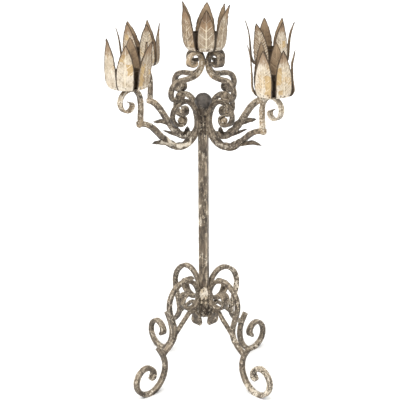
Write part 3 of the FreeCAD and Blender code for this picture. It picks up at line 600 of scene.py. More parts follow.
def leaf_paint(name):
    """Cream and ochre paint on embossed sheet, pale veins, brown tips, dark edges that are worn and carry painted
    shade, and inner faces in a darker brown that is painted shade inside the cup.
    """
    m = Paint(name)
    big, mid, fine = m.noise(34, 3), m.noise(9, 4, 0.6), m.noise(2.2, 3, 0.6)
    far = m.noise(26, 3, 0.55, m.shift((0.41, 0.87, 0.23)))
    scratch = m.noise(3.2, 4, 0.65, m.shift((0.3, 0.1, 0.6), (1, 1, 0.3)))
    edge, tip, inner, vein = m.value("edge"), m.value("cream"), m.value("dark"), m.value("vein")
    tone, groove = m.value("tone"), m.value("groove")
    pale = m.mix(m.step(m.total((big, 0.4), (mid, 0.3), (fine, 0.3)), 0.42, 0.58), CREAM, IVORY)
    tan = m.mix(m.step(m.total((big, 0.3), (mid, 0.4), (fine, 0.3)), 0.40, 0.60), lin(112, 92, 71), lin(156, 134, 106))
    color = m.mix(m.step(m.total((tone, 1.0), (mid, 0.55), (scratch, 0.4)), 0.42, 1.42), pale, tan)
    ochre = m.step(m.total((far, 0.65), (mid, 0.3), (fine, 0.1), (tone, -0.06)), 0.555, 0.60, 0.0, 0.85)
    color = m.mix(m.math("MULTIPLY", ochre, m.step(tone, 0.75, 0.4, 0.3, 0.7)), color, OCHRE)
    color = m.mix(m.math("MULTIPLY", m.math("MAXIMUM", groove, 0.0), m.step(m.total((fine, 0.5), (mid, 0.5)), 0.36, 0.56, 0.3, 0.85)), color, lin(108, 88, 66))
    color = m.mix(m.math("MULTIPLY", m.math("MAXIMUM", m.math("MULTIPLY", groove, -1.0), 0.0), m.step(m.total((fine, 0.5), (far, 0.5)), 0.40, 0.58, 0.15, 0.7)), color, lin(226, 217, 200))
    color = m.mix(m.step(m.total((fine, 0.5), (scratch, 0.5)), 0.525, 0.60, 0.0, 0.66), color, lin(116, 96, 74))
    color = m.mix(m.step(m.total((fine, 0.5), (scratch, 0.5)), 0.45, 0.38, 0.0, 0.75), color, lin(228, 219, 202))
    patch = m.step(m.total((m.value("patch"), 1.0), (mid, 0.5), (fine, 0.3)), 0.78, 0.90, 0.0, 0.9)
    color = m.mix(patch, color, m.mix(m.step(m.total((mid, 0.5), (scratch, 0.5)), 0.40, 0.60), lin(164, 135, 92), lin(194, 167, 121)))
    # rubbed brown, mostly towards the tips; the sum lies around 0.58 away from them
    worn = m.total((scratch, 0.5), (mid, 0.35), (far, 0.3), (tip, 0.5))
    color = m.mix(m.step(worn, 0.66, 0.92, 0.0, 0.88), color, lin(140, 114, 87))
    color = m.mix(m.step(m.total((worn, 1.0), (fine, 0.2)), 1.04, 1.28, 0.0, 0.8), color, lin(98, 78, 61))
    line = m.step(m.total((vein, 0.9), (fine, 0.5), (mid, 0.5)), 0.66, 1.08)
    color = m.mix(m.math("MULTIPLY", line, m.step(tip, 0.9, 0.3, 0.3, 0.95)), color, lin(226, 214, 192))
    hem = m.step(tip, -0.1, -0.9)
    color = m.mix(m.math("MULTIPLY", hem, m.step(m.total((mid, 0.5), (fine, 0.5)), 0.42, 0.56, 0.0, 0.8)), color, IVORY)
    color = m.mix(m.math("MULTIPLY", hem, m.step(m.cells(6.0, m.shift((0.3, 0.8, 0.4))), 0.34, 0.22, 0.0, 0.9)), color, lin(74, 58, 44))
    spots = m.math("MULTIPLY", m.step(m.cells(7.0, m.shift((0.6, 0.1, 0.3))), 0.2, 0.11), m.step(far, 0.5, 0.6))
    color = m.mix(m.math("MULTIPLY", spots, 0.7), color, lin(70, 54, 40))
    # dark band along the leaf borders: worn edges, with painted shade along the sheet's edge
    rim = m.step(m.total((edge, 0.8), (mid, 0.7), (fine, 0.2)), 0.72, 1.02)
    color = m.mix(m.math("MULTIPLY", rim, 0.92), color, lin(60, 48, 37))
    # painted shade: the inner faces get a darker brown standing for the shade inside the cup, lighter towards the tips
    # where less shade falls
    back = m.mix(m.step(m.total((mid, 0.4), (far, 0.3), (fine, 0.3)), 0.40, 0.60), lin(112, 93, 73), lin(152, 129, 102))
    back = m.mix(m.step(tip, 0.1, 0.9, 0.0, 0.5), back, lin(160, 137, 109))
    back = m.mix(m.math("MULTIPLY", m.math("MAXIMUM", groove, 0.0), m.step(fine, 0.38, 0.60, 0.2, 0.6)), back, lin(78, 62, 48))
    back = m.mix(m.step(m.total((fine, 0.5), (scratch, 0.5)), 0.45, 0.36, 0.0, 0.5), back, lin(176, 156, 128))
    back = m.mix(m.math("MULTIPLY", line, 0.6), back, lin(182, 162, 133))
    back = m.mix(m.math("MULTIPLY", rim, 0.8), back, lin(62, 50, 40))
    color = m.mix(inner, color, back)
    rough = m.math("ADD", m.total((fine, 0.3), (worn, 0.1)), 0.46)
    height = m.total((fine, 0.5), (scratch, 0.5), (vein, 0.4))
    return m.finish(color, rough, height, 0.5, 0.4, 0.32)


def weld_paint(name):
    m = Paint(name)
    mid, fine = m.noise(7, 4, 0.6), m.noise(2.0, 3, 0.6)
    far = m.noise(16, 3, 0.55, m.shift((0.21, 0.57, 0.13)))
    paint = m.step(m.total((mid, 0.5), (fine, 0.25), (far, 0.35), (m.value("cream"), 0.30)), 0.56, 0.70)
    base = m.mix(m.step(mid, 0.4, 0.62), UMBER, TAUPE)
    color = m.mix(paint, base, m.mix(m.step(far, 0.4, 0.6), CREAM, IVORY))
    color = m.mix(m.step(m.total((fine, 0.5), (mid, 0.5)), 0.41, 0.34, 0.0, 0.9), color, SOOT)
    color = m.mix(m.step(m.value("cream"), 0.05, -0.35, 0.0, 0.65), color, SOOT)
    rough = m.math("ADD", m.total((fine, 0.3)), 0.5)
    return m.finish(color, rough, m.total((mid, 0.6), (fine, 0.6), (paint, 0.4)), 0.7, 0.6, 0.32)


def dark_iron(name):
    """Graphite iron of the ball, dusty with paint specks low down."""
    m = Paint(name)
    mid, fine = m.noise(8, 4, 0.6), m.noise(2.2, 3, 0.6)
    far = m.noise(22, 3, 0.55, m.shift((0.21, 0.77, 0.43)))
    color = m.mix(m.step(m.total((mid, 0.5), (far, 0.5)), 0.38, 0.64), lin(58, 53, 49), lin(100, 93, 86))
    speck = m.step(m.total((fine, 0.6), (mid, 0.4), (m.value("cream"), 0.2)), 0.66, 0.74)
    color = m.mix(m.math("MULTIPLY", speck, 0.8), color, lin(170, 156, 138))
    rough = m.math("ADD", m.total((fine, 0.35)), 0.34)
    return m.finish(color, rough, m.total((mid, 0.6), (fine, 0.4)), 0.45, 0.5, 0.42, 0.15)


def liner_iron(name):
    """Dark brown sheet of the candle tins, with rust bloom and a rubbed rim."""
    m = Paint(name)
    mid, fine = m.noise(7, 4, 0.6), m.noise(1.8, 3, 0.6)
    far = m.noise(20, 3, 0.55, m.shift((0.11, 0.37, 0.73)))
    color = m.mix(m.step(m.total((mid, 0.5), (far, 0.5)), 0.4, 0.64), lin(52, 42, 31), lin(92, 76, 56))
    color = m.mix(m.step(m.total((far, 0.5), (fine, 0.5)), 0.58, 0.7, 0.0, 0.6), color, lin(104, 74, 48))
    color = m.mix(m.step(m.total((m.value("edge"), 0.8), (fine, 0.3)), 0.6, 0.95, 0.0, 0.5), color, lin(74, 62, 50))
    rough = m.math("ADD", m.total((fine, 0.35)), 0.4)
    return m.finish(color, rough, m.total((mid, 0.5), (fine, 0.5)), 0.4, 0.4, 0.35, 0.2)


IRON = iron_paint("worn_bar_paint")
POST_PAINT = iron_paint("worn_post_paint", 0.02, True)
LEAF = leaf_paint("aged_leaf_paint")
SHEATH = sheath_paint("sheath_paint")
WELD = weld_paint("weld_paint")
BALL = dark_iron("ball_graphite")
LINER = liner_iron("liner_brown_iron")


# -------------------------------------------------------------------- the bars
def arm_rows(rise):
    rows = []
    for i, (r, z, a) in enumerate(ARM):
        s = min(max((r - 60.0) / 95.0, 0.0), 1.0) if i < 5 else 0.0
        slope = 6.0 * s * (1.0 - s) / 95.0 if i < 5 else 0.0
        tx, tz = unit(a)
        rows.append((r, z + rise * s * s * (3.0 - 2.0 * s), math.degrees(math.atan2(tz + rise * slope * tx, tx))))
    return rows


def crown_rows(along):
    rows = []
    for r, z, a in CROWN:
        s = min(max((z - 612.0) / 34.0, 0.0), 1.0)
        tx, tz = unit(a)
        rows.append((r + along * s * s * (3.0 - 2.0 * s), z,
                     math.degrees(math.atan2(tz, tx + along * 6.0 * s * (1.0 - s) / 34.0 * tz))))
    return rows


LEG_RISE = {"front_left": 0.0, "front_right": 0.0, "back_left": 5.5, "back_right": 2.0}


def leg_rows(rise, wide):
    """The leg's centre line with its inner part lifted a little and its arch spread a little, as forged by hand."""
    rows = []
    for r, z, a in LEG:
        s = min(max((105.0 - r) / 55.0, 0.0), 1.0)
        q = min(max((r - 58.0) / 34.0, 0.0), 1.0) if z > 190 else min(max((z - 110.0) / 50.0, 0.0), 1.0) * (1.0 if r > 75 else 0.0)
        tx, tz = unit(a)
        slope = -rise * 6.0 * s * (1.0 - s) / 55.0
        rows.append((r + wide * q, z + rise * s * s * (3.0 - 2.0 * s), math.degrees(math.atan2(tz + slope * tx, tx))))
    return rows


for index, (quarter, angle) in enumerate(QUARTERS):
    rise, swing = RISE[quarter], angle + SWING[quarter]
    here = lambda p, a=angle: turn_z(p, a)
    there = lambda p, a=swing: turn_z(p, a)

    # Arm: square bar, drawn out, widened and rolled into a knob at the inner end of its volute.
    arm = Shape()
    bar = 11.0 if quarter == "back_right" else 10.4
    forged(arm, arm_rows(rise), [(0, bar), (60, bar), (120, 10.4), (-110, 9.4), (-48, 6.8), (-12, 4.8), (-0.01, 3.6)],
           [(0, bar), (60, bar), (120, 10.4), (-110, 9.4), (-62, 9.8), (-36, 15.0), (-8, 16.4), (-0.01, 14.5)], 11 + index, here, rc=1.5,
           cream=[(0, 0.55), (50, 0.2), (150, 0.12), (-80, 0.1), (-0.01, 0.2)])
    core = turn_z(np.array([[58.2, 0.0, 547.8]]), angle)[0]
    lump(arm, core, (6.6, 6.6, 6.4), 150 + index, around=26, rings=17, rough=0.1, cream=0.55)
    arm.build("visual_arm_" + quarter, IRON, "frame", "arm_" + quarter, "iron_bar")

    # Upright: square at the arm, with a hammered knob at the elbow, flattened and widened where it scrolls under the pan.
    up = Shape()
    raised = lambda p, a=angle, dz=rise: turn_z(p, a) + np.array([0, 0, dz])
    forged(up, [(158.2, 547.6, 90.0)] + UPRIGHT, [(0, 9.0), (56, 8.7), (88, 6.2), (-40, 4.4), (-8, 2.8), (-0.01, 2.4)],
           [(0, 9.2), (56, 9.0), (88, 10.6), (-40, 12.8), (-6, 15.0), (-0.01, 14.0)], 31 + index, raised, rc=1.4, step=1.3,
           cream=[(0, 0.7), (24, 0.45 if quarter == "front_left" else 0.6), (56, 0.38 if quarter == "front_left" else 0.55), (-50, 0.6), (-0.01, 0.65)] if quarter.startswith("front") else [(0, 0.4), (56, 0.3), (-0.01, 0.3)],
           chips=[(0, 0.2), (56, 0.2), (80, 0.75), (-60, 0.6), (-0.01, 0.3)] if quarter == "front_right" else [(0, 0.15), (-0.01, 0.15)])
    elbow = raised(np.array([[161.0, 0.0, 550.6]]))[0]
    lump(up, elbow, (5.6, 5.3, 5.4), 160 + index, around=26, rings=17, rough=0.2, cream=0.6)
    up.build("visual_candle_upright_" + quarter, IRON, "frame", "candle_upright_" + quarter, "iron_bar")

    # Crown scroll: flared at both ends, leaning with the crown.
    along = CROWN_SHIFT * math.cos(math.radians(CROWN_TURN - angle))
    across = CROWN_SHIFT * math.sin(math.radians(CROWN_TURN - angle))
    beta = -math.atan2(across, 67.0)

    def leaning(p, a=angle, b=beta):
        y, z = p[:, 1], p[:, 2] - CROWN_FOOT
        q = np.stack([p[:, 0], y * math.cos(b) - z * math.sin(b), y * math.sin(b) + z * math.cos(b) + CROWN_FOOT], 1)
        return turn_z(q, a)

    crown = Shape()
    flare = [(-62, 9.4), (-32, 9.6), (-18, 14.0), (-7, 19.0), (-0.01, 18.0)] if quarter == "front_left" else [(-62, 11.5), (-30, 17.5), (-0.01, 18.5)]
    forged(crown, crown_rows(along), [(0, 4.2), (8, 5.6), (34, 8.4), (80, 9.6), (-100, 9.2), (-50, 6.4), (-14, 4.4), (-0.01, 3.0)],
           [(0, 15.0), (9, 16.0), (26, 11.5), (44, 9.2), (80, 9.4), (-100, 9.4)] + flare, 51 + index, leaning,
           step=1.3, rc=1.5, cream=[(0, 0.25), (60, 0.08), (120, 0.2), (-115, 0.6), (-72, 0.8 if quarter == "front_left" else 0.15), (-40, 0.8 if quarter == "front_left" else -0.2), (-0.01, 0.5 if quarter == "front_left" else -0.2)] if quarter.startswith("front")
           else [(0, 0.2), (60, 0.08), (-0.01, 0.1)],
           chips=[(0, 0.0), (-62, 0.0), (-48, -0.1), (-0.01, -0.1)] if quarter == "front_left" else [(0, 0.0), (-62, 0.0), (-48, -0.5), (-0.01, -0.5)])
    disc = leaning(np.array([[61.6, 0.0, 595.8]]))[0]
    lump(crown, disc, (7.4, 7.4, 7.4), 170 + index, around=26, rings=17, rough=0.1, cream=0.4)
    crown.build("visual_crown_scroll_" + quarter, IRON, "frame", "crown_scroll_" + quarter, "iron_bar")

    # Foot scroll: thick square bar, cut square at the top, flattened where it stands.
    foot = Shape()
    forged(foot, FOOT, [(0, 9.4), (120, 9.8), (-60, 9.6), (-22, 9.4), (-8, 9.0), (-0.01, 5.6)],
           [(0, 10.0), (120, 10.2), (-60, 10.0), (-26, 12.0), (-8, 14.5), (-0.01, 12.5)], 71 + index, there, rc=1.5,
           cream=[(0, 0.0), (120, 0.08), (-0.01, 0.12)],
           chips=[(0, 0.1), (70, 0.15), (110, 0.7), (170, 0.8), (-60, 0.65), (-0.01, 0.45)] if quarter == "front_right" else [(0, 0.22), (90, 0.22), (120, 0.38), (160, 0.22), (-0.01, 0.2)])
    foot.verts[-1][:, 2] = np.maximum(foot.verts[-1][:, 2], 0.0)
    foot.build("visual_foot_scroll_" + quarter, IRON, "frame", "foot_scroll_" + quarter, "iron_bar")

    # Leg: wide curled end inside the volute.
    leg = Shape()
    forged(leg, leg_rows(LEG_RISE[quarter], 3.0 if quarter == "back_right" else 0.0), [(0, 9.4), (100, 9.4), (-110, 9.0), (-60, 7.2), (-12, 4.8), (-0.01, 3.6)],
           [(0, 9.4), (100, 9.4), (-110, 9.2), (-52, 14.0), (-18, 21.5), (-0.01, 20.0)], 91 + index, there, rc=1.5,
           cream=[(0, 0.15), (100, 0.15), (200, 0.1), (-0.01, 0.1)],
           chips=[(0, 0.1), (100, 0.7), (150, 0.6), (190, 0.1), (-0.01, 0.0)] if quarter == "back_right" else [(0, 0.18), (100, 0.25), (200, 0.12), (-0.01, 0.05)])
    leg.build("visual_leg_" + quarter, IRON, "frame", "leg_" + quarter, "iron_bar")

    # Strut: thin bar whose inner end hangs down as a flared, rounded tongue.
    strut = Shape()
    aside = 4.4 if quarter == "front_right" else 0.0
    hung = lambda p, a=swing, d=aside: turn_z(p + np.stack([0 * p[:, 0], d * smooth(55.0 - p[:, 0], 0.0, 30.0), 0 * p[:, 0]], 1), a)
    forged(strut, STRUT, [(0, 7.6), (50, 7.6), (-24, 6.2), (-6, 5.0), (-0.01, 3.6)],
           [(0, 7.8), (54, 8.2), (-36, 10.0), (-24, 19.0), (-14, 28.0), (-8, 30.5), (-3, 26.5), (-0.01, 18.0)], 111 + index, hung, rc=1.6,
           cream=[(0, 0.15), (60, 0.25), (-0.01, 0.15)])
    strut.build("visual_leg_strut_" + quarter, IRON, "frame", "leg_strut_" + quarter, "iron_bar")

# ------------------------------------------------------------------------ post
post = Shape()
n = int((POST_HIGH - POST_LOW) / 1.6)
zz = np.linspace(POST_LOW, POST_HIGH, n)
half = np.full(n, POST_SIDE / 2 + 0.75)
close = [1.4, 0.6, 0.15]
half[:3] -= close
half[-3:] -= close[::-1]
x, y, nrm, cor = section(half, half, np.full(n, 1.3))
pts = np.stack([x.ravel(), y.ravel(), np.repeat(zz, x.shape[1])], 1)
normal = np.stack([np.tile(nrm[:, 0], n), np.tile(nrm[:, 1], n), np.zeros(n * x.shape[1])], 1)
pts = pts + normal * (0.5 * (dents(pts * np.array([1, 1, 0.55]), 8.0, 5) - 0.6) + 0.16 * fbm(pts, 3.2, 6, 2))[:, None]
pts = np.vstack([pts, [[0, 0, POST_LOW - 0.3], [0, 0, POST_HIGH + 0.3]]])
post.add(turn_z(pts, POST_TURN), tube_faces(n, x.shape[1]), edge=np.concatenate([np.tile(cor, n), [0, 0]]),
         cream=np.concatenate([np.repeat(eased(zz, [(128, 0.15), (300, 0.1), (350, 0.25), (420, 0.1), (450, 0.05), (480, 0.2), (566, 0.25)]), x.shape[1]), [0, 0]]))
post.build("visual_post", POST_PAINT, "frame", "post", "iron_bar")

# ------------------------------------------------------------------------ ball
ball = Shape()
rings, around = 44, 72
th = np.linspace(0, math.pi, rings + 2)[1:-1]
ph = np.linspace(0, 2 * math.pi, around, endpoint=False)
d = np.stack([np.outer(np.sin(th), np.cos(ph)).ravel(), np.outer(np.sin(th), np.sin(ph)).ravel(), np.repeat(np.cos(th), around)], 1)
d = np.vstack([d, [[0, 0, 1], [0, 0, -1]]])
rad = BALL_R + 0.55 * (dents(d * BALL_R, 7.0, 3) - 0.6) + 0.18 * fbm(d * BALL_R, 4.0, 9, 2)
faces = [f[::-1] for f in tube_faces(rings, around)]
ball.add(d * rad[:, None] + np.array([0, 0, BALL_Z]), faces, cream=np.clip(-d[:, 2], 0, 1))
ball.build("visual_ball_finial", BALL, "frame", "ball_finial", "dark_iron")

# ------------------------------------------------------------------------ welds
# Weld runs lie along both sides of every bar that meets the post; painted fillets fill the front of the lower hub.
for name, low, reach, lean in (("upper", 517.0, 10.6, 0.0), ("lower", 160.0, 10.8, 1.0)):
    weld = Shape()
    for k in range(4):
        for sign in (1.0, -1.0):
            for j in range(12):
                h = noise3(np.array([[k * 3.3 + 0.1 + sign, j * 1.7, low]]), 1.0, 77)[0]
                g = noise3(np.array([[k * 2.1 + 0.6 + sign, j * 1.3, low]]), 1.0, 78)[0]
                at = np.array([[reach + 0.8 * h, sign * (4.9 + 1.1 * g), low - 3.0 + 3.1 * j + 1.0 * g]])
                lump(weld, turn_z(at, 90.0 * k)[0], (2.3 + 0.6 * h, 2.0 + 0.5 * g, 2.6 + 0.5 * h), 200 + 30 * k + j, around=14, rings=9, cream=(-0.15 if name == "upper" else 0.3) + 0.6 * h)
    if name == "lower":
        for k in range(4):
            for j, (r, lat, z, size) in enumerate(((11.4, 0.4, 191.5, 3.0), (11.6, 4.0, 189.0, 3.2), (11.6, -3.6, 188.0, 3.4), (12.2, 0.6, 186.5, 3.6),
                                                   (12.0, 6.0, 184.5, 3.4), (12.0, -6.2, 184.0, 3.6), (12.6, 3.0, 182.0, 3.8), (12.6, -2.6, 181.5, 3.8),
                                                   (12.0, 6.4, 178.0, 3.4), (11.8, -6.0, 177.5, 3.4), (12.2, 0.4, 176.5, 3.4), (11.6, 3.6, 172.5, 3.0), (11.6, -3.4, 171.5, 3.0), (12.4, 8.4, 181.0, 2.8), (12.4, -8.6, 180.5, 2.8), (12.6, 9.0, 175.0, 2.6), (12.6, -9.0, 174.5, 2.6), (11.0, 1.0, 146.0, 4.0), (11.6, -3.2, 141.0, 3.8),
                                                   (11.2, 3.4, 138.0, 3.6), (10.2, 0.0, 132.0, 4.0))):
                at = turn_z(np.array([[r, lat, z]]), 90.0 * k + 46.0)[0]
                lump(weld, at, (size, size * 0.95, size * 1.1), 330 + 20 * k + j, around=18, rings=11, rough=0.45, cream=(0.8 if j % 3 else 0.4) if z > 160 else 0.1)
    weld.build("visual_hub_welds_" + name, WELD, "frame", "hub_welds_" + name, "weld_paint")


# ------------------------------------------------------------------------ cups
def leaf(shape, base, azimuth, seed, tall=1.0, out=0.0, side=0.0, curl=0.0, belly=0.0, tone=0.0, lines=1.0, wide=1.0, lean_xy=(0.0, 0.0), brown=0.5, deep=1.0, stripe=0.35, bare=(), crease=0.45):
    """One embossed leaf: profile up the cup's wall, lanceolate outline, midrib and rising side veins."""
    nv, nu = 84, 33
    wall = spline(LEAF_WALL, nv)
    run = np.concatenate([[0], np.cumsum(np.hypot(np.diff(wall[:, 0]), np.diff(wall[:, 1])))])
    v = run / run[-1]
    sides = spline([(s[1], s[0]) for s in LEAF_SIDE], 400)
    half = np.interp(wall[:, 1], sides[:, 0], sides[:, 1]) * wide
    half = np.maximum(half, 0.35)
    t = np.linspace(-1, 1, nu)
    t = np.sign(t) * np.abs(t) ** 1.15
    rag = noise3(np.stack([np.tile(v * 86, 2), np.repeat([0.0, 50.0], nv), np.full(2 * nv, seed * 9.1)], 1), 4.2, seed) * 0.8
    rag = rag.reshape(2, nv) * smooth(v, 0.02, 0.3) * smooth(1 - v, 0.0, 0.06)
    y = np.where(t[None, :] < 0, half[:, None] + rag[0][:, None], half[:, None] + rag[1][:, None]) * t[None, :]
    rho = wall[:, 0, None] + 0 * y
    z = wall[:, 1, None] * (1 + (tall - 1) * v[:, None] ** 0.8) + 0 * y
    # outward slope of the wall, for the direction across the sheet
    dr, dz = np.gradient(wall[:, 0]), np.gradient(wall[:, 1])
    nr, nz = dz / np.hypot(dr, dz), -dr / np.hypot(dr, dz)
    rel = np.abs(y) / half[:, None]
    rib = np.exp(-(y / 1.05) ** 2) * (1 - 0.45 * v[:, None]) * smooth(v, 0.05, 0.14)[:, None]
    c = z - 0.85 * np.abs(y)
    phase = (c - 9.0) / 15.5
    near = np.abs(phase - np.round(phase)) * 15.5
    veins = np.exp(-(near / 0.75) ** 2) * (1 - smooth(rel, 0.72, 0.98)) * smooth(c, 4.0, 10.0) * (1 - smooth(z, 64.0, 74.0))
    fine = np.cos(2 * math.pi * c / 5.8)
    lift = 1.2 * rib + 0.75 * veins + 0.22 * min(stripe, 1.3) * fine * (1 - 0.7 * rel) * smooth(v, 0.08, 0.2)[:, None]
    grid = np.stack([rho.ravel(), y.ravel(), z.ravel()], 1) + seed * 13.7
    lift = lift + (0.35 * fbm(grid, 14.0, seed, 2)).reshape(y.shape) * smooth(v, 0.03, 0.15)[:, None]
    along = np.stack([y.ravel(), 0.2 * z.ravel(), np.full(y.size, 3.0)], 1) + seed * 7.7
    lift = lift + crease * fbm(along, 6.5, seed + 8, 2).reshape(y.shape) * smooth(v, 0.06, 0.2)[:, None]
    lift = lift + curl * rel ** 2 * smooth(v, 0.15, 0.6)[:, None]
    lean = out * v[:, None] ** 2.4 + belly * smooth(v, 0.06, 0.4)[:, None] * (1 - 0.6 * smooth(v, 0.6, 1.0))[:, None]
    slew = side * v[:, None] ** 2.0

    def place(offset):
        rr = rho + (lift + offset) * nr[:, None] + lean
        zz = z + (lift + offset) * nz[:, None]
        yy = y + slew
        round_x = np.sqrt(np.maximum(rr ** 2 - np.minimum(np.abs(y), 0.93 * rr) ** 2, 0))
        xx = rr + (round_x - rr) * (0.95 - 0.5 * smooth(v, 0.03, 0.2))[:, None]
        return np.stack([xx.ravel(), yy.ravel(), zz.ravel()], 1)

    outer, inner = place(0.55), place(-0.55)
    pts = turn_z(np.vstack([outer, inner]), azimuth)
    pts[:, :2] += np.outer(np.clip(pts[:, 2], 0, None) / 86.0, lean_xy)
    pts = pts + np.asarray(base)
    faces, m = [], nv * nu
    for i in range(nv - 1):
        for j in range(nu - 1):
            a = i * nu + j
            faces.append((a, a + 1, a + nu + 1, a + nu))
            faces.append((m + a, m + a + nu, m + a + nu + 1, m + a + 1))
    for i in range(nv - 1):
        a = i * nu
        faces.append((a, a + nu, m + a + nu, m + a))
        b = i * nu + nu - 1
        faces.append((b, m + b, m + b + nu, b + nu))
    for j in range(nu - 1):
        faces.append((j, m + j, m + j + 1, j + 1))
        a = (nv - 1) * nu + j
        faces.append((a, a + 1, m + a + 1, m + a))
    # border value for the dark rim: worn edges plus painted shade along the sheet's edge
    border = np.maximum(1 - smooth((1 - rel) * half[:, None], 0.4, 3.0), 0.8 * smooth(v, 0.94, 1.0)[:, None])
    tip = (deep * smooth(v, brown, 0.98) - smooth(0.17 - v, 0.0, 0.09))[:, None] + 0 * y
    patch = 0 * y
    ragged = 0.085 * fbm(grid, 8.0, seed + 11, 2).reshape(y.shape)
    for v0, v1, t0, t1 in bare:
        box = np.minimum.reduce([v[:, None] - v0 + 0 * y, v1 - v[:, None] + 0 * y, 0.28 * (t[None, :] - t0) + 0 * y, 0.28 * (t1 - t[None, :]) + 0 * y])
        patch = np.maximum(patch, smooth(box + ragged, -0.02, 0.07))
    vein = np.maximum(rib, 0.9 * veins) * lines
    uneven = np.clip(0.85 + 0.9 * fbm(grid, 17.0, seed + 5, 2).reshape(y.shape), 0.1, 1.5)
    groove = -fine * stripe * uneven * (1 - 0.85 * patch) * smooth(rel, 0.04, 0.12) * smooth(c, 2.0, 8.0)
    # the dark value marks the inner faces, which the paint darkens as painted shade
    shape.add(pts, faces, edge=np.concatenate([border.ravel(), border.ravel()]), cream=np.tile(tip.ravel(), 2),
              dark=np.concatenate([np.zeros(m), np.ones(m)]), vein=np.tile(vein.ravel(), 2), tone=tone, groove=np.tile(groove.ravel(), 2), patch=np.concatenate([patch.ravel(), np.zeros(m)]))


def revolve(shape, profile, base, around, seed, rough=0.12, edge=None, cream=0.0):
    """A turned sheet or plate: closed half section (r, z) spun about the cup's axis, ending on the axis at both ends."""
    p = np.asarray(profile, float)
    ph = np.linspace(0, 2 * math.pi, around, endpoint=False)
    body = p[1:-1]
    pts = np.stack([np.outer(body[:, 0], np.cos(ph)).ravel(), np.outer(body[:, 0], np.sin(ph)).ravel(), np.repeat(body[:, 1], around)], 1)
    wob = rough * fbm(pts + seed * 17.0, 12.0, seed, 2)
    k = 1 + wob / np.maximum(np.hypot(pts[:, 0], pts[:, 1]), 4.0)
    pts = pts * np.stack([k, k, np.ones(len(k))], 1)
    pts = np.vstack([pts, [[0, 0, p[0, 1]], [0, 0, p[-1, 1]]]])
    e = 0.0 if edge is None else np.concatenate([np.repeat(np.asarray(edge, float)[1:-1], around), [0, 0]])
    shape.add(pts + np.asarray(base), tube_faces(len(body), around), edge=e, cream=cream)


CUPS = [("centre", CROWN_SHIFT * math.cos(math.radians(CROWN_TURN)), CROWN_SHIFT * math.sin(math.radians(CROWN_TURN)), CENTRE_HEIGHT)]
for quarter, angle in QUARTERS:
    CUPS.append((quarter, CUP_REACH * math.cos(math.radians(angle)), CUP_REACH * math.sin(math.radians(angle)), CUP_HEIGHT + RISE[quarter]))

for number, (cup, cx, cy, cz) in enumerate(CUPS):
    base = (cx, cy, cz)
    leaves = Shape()
    for k in range(6):
        seed = 300 + 10 * number + k
        h = noise3(np.array([[number * 2.3 + 0.4, k * 1.9 + 0.3, 3.1]]), 1.0, 55)[0]
        at, tall, out, side, curl, belly, tone, lines = LEAVES[cup][k]
        leaf(leaves, base, at, seed, tall=tall, out=out, side=side, curl=curl, belly=belly, tone=tone, lines=lines, wide=(1.03 + 0.03 * h) * BROAD.get((cup, k), 1.0), lean_xy=LEAN.get(cup, (0.0, 0.0)),
             brown=BROWN_FROM.get((cup, k), 0.5), deep=DEEP.get((cup, k), 1.0), stripe=STRIPES.get((cup, k), 0.35), bare=PATCHES.get((cup, k), ()), crease=CREASES.get((cup, k), 0.45))
    leaves.build("visual_cup_leaves_" + cup, LEAF, "frame", "cup_leaves_" + cup, "leaf_paint")

    pan = Shape()
    revolve(pan, [(0, 0.1), (8, 0.1), (20, 0.05), (27, 0.1), (29.4, 0.4), (30.2, 1.2), (29.6, 2.2), (27, 2.4), (20, 2.3), (8, 2.3), (0, 2.3)],
            base, 72, 400 + number, edge=[0, 0, 0, 0.2, 0.8, 1, 0.8, 0.2, 0, 0, 0], cream=0.3)
    pan.build("visual_cup_pan_" + cup, IRON, "frame", "cup_pan_" + cup, "iron_bar")

    tin = Shape()
    b = 2.5
    revolve(tin, [(0, b + 0.1), (9, b + 0.1), (18, b + 0.1), (22.5, b + 0.15), (23.6, b + 0.7), (23.9, b + 2.0), (23.85, b + 10), (23.9, b + 19),
                  (23.9, b + 27), (24.4, b + 28.8), (24.7, b + 30.0), (24.4, b + 30.9), (23.7, b + 31.0), (23.15, b + 30.2), (23.05, b + 28.5), (23.0, b + 21),
                  (23.0, b + 11), (23.0, b + 4), (22.7, b + 2.2), (21.5, b + 1.6), (16, b + 1.5), (8, b + 1.5), (0, b + 1.5)],
            base, 72, 430 + number, rough=0.1, edge=[0, 0, 0, 0, 0.3, 0.2, 0, 0, 0, 0.5, 1, 1, 0.9, 0.5, 0, 0, 0, 0, 0.2, 0, 0, 0, 0])
    tin.build("visual_candle_liner_" + cup, LINER, "liner_" + cup, "candle_liner_" + cup, "liner_iron")


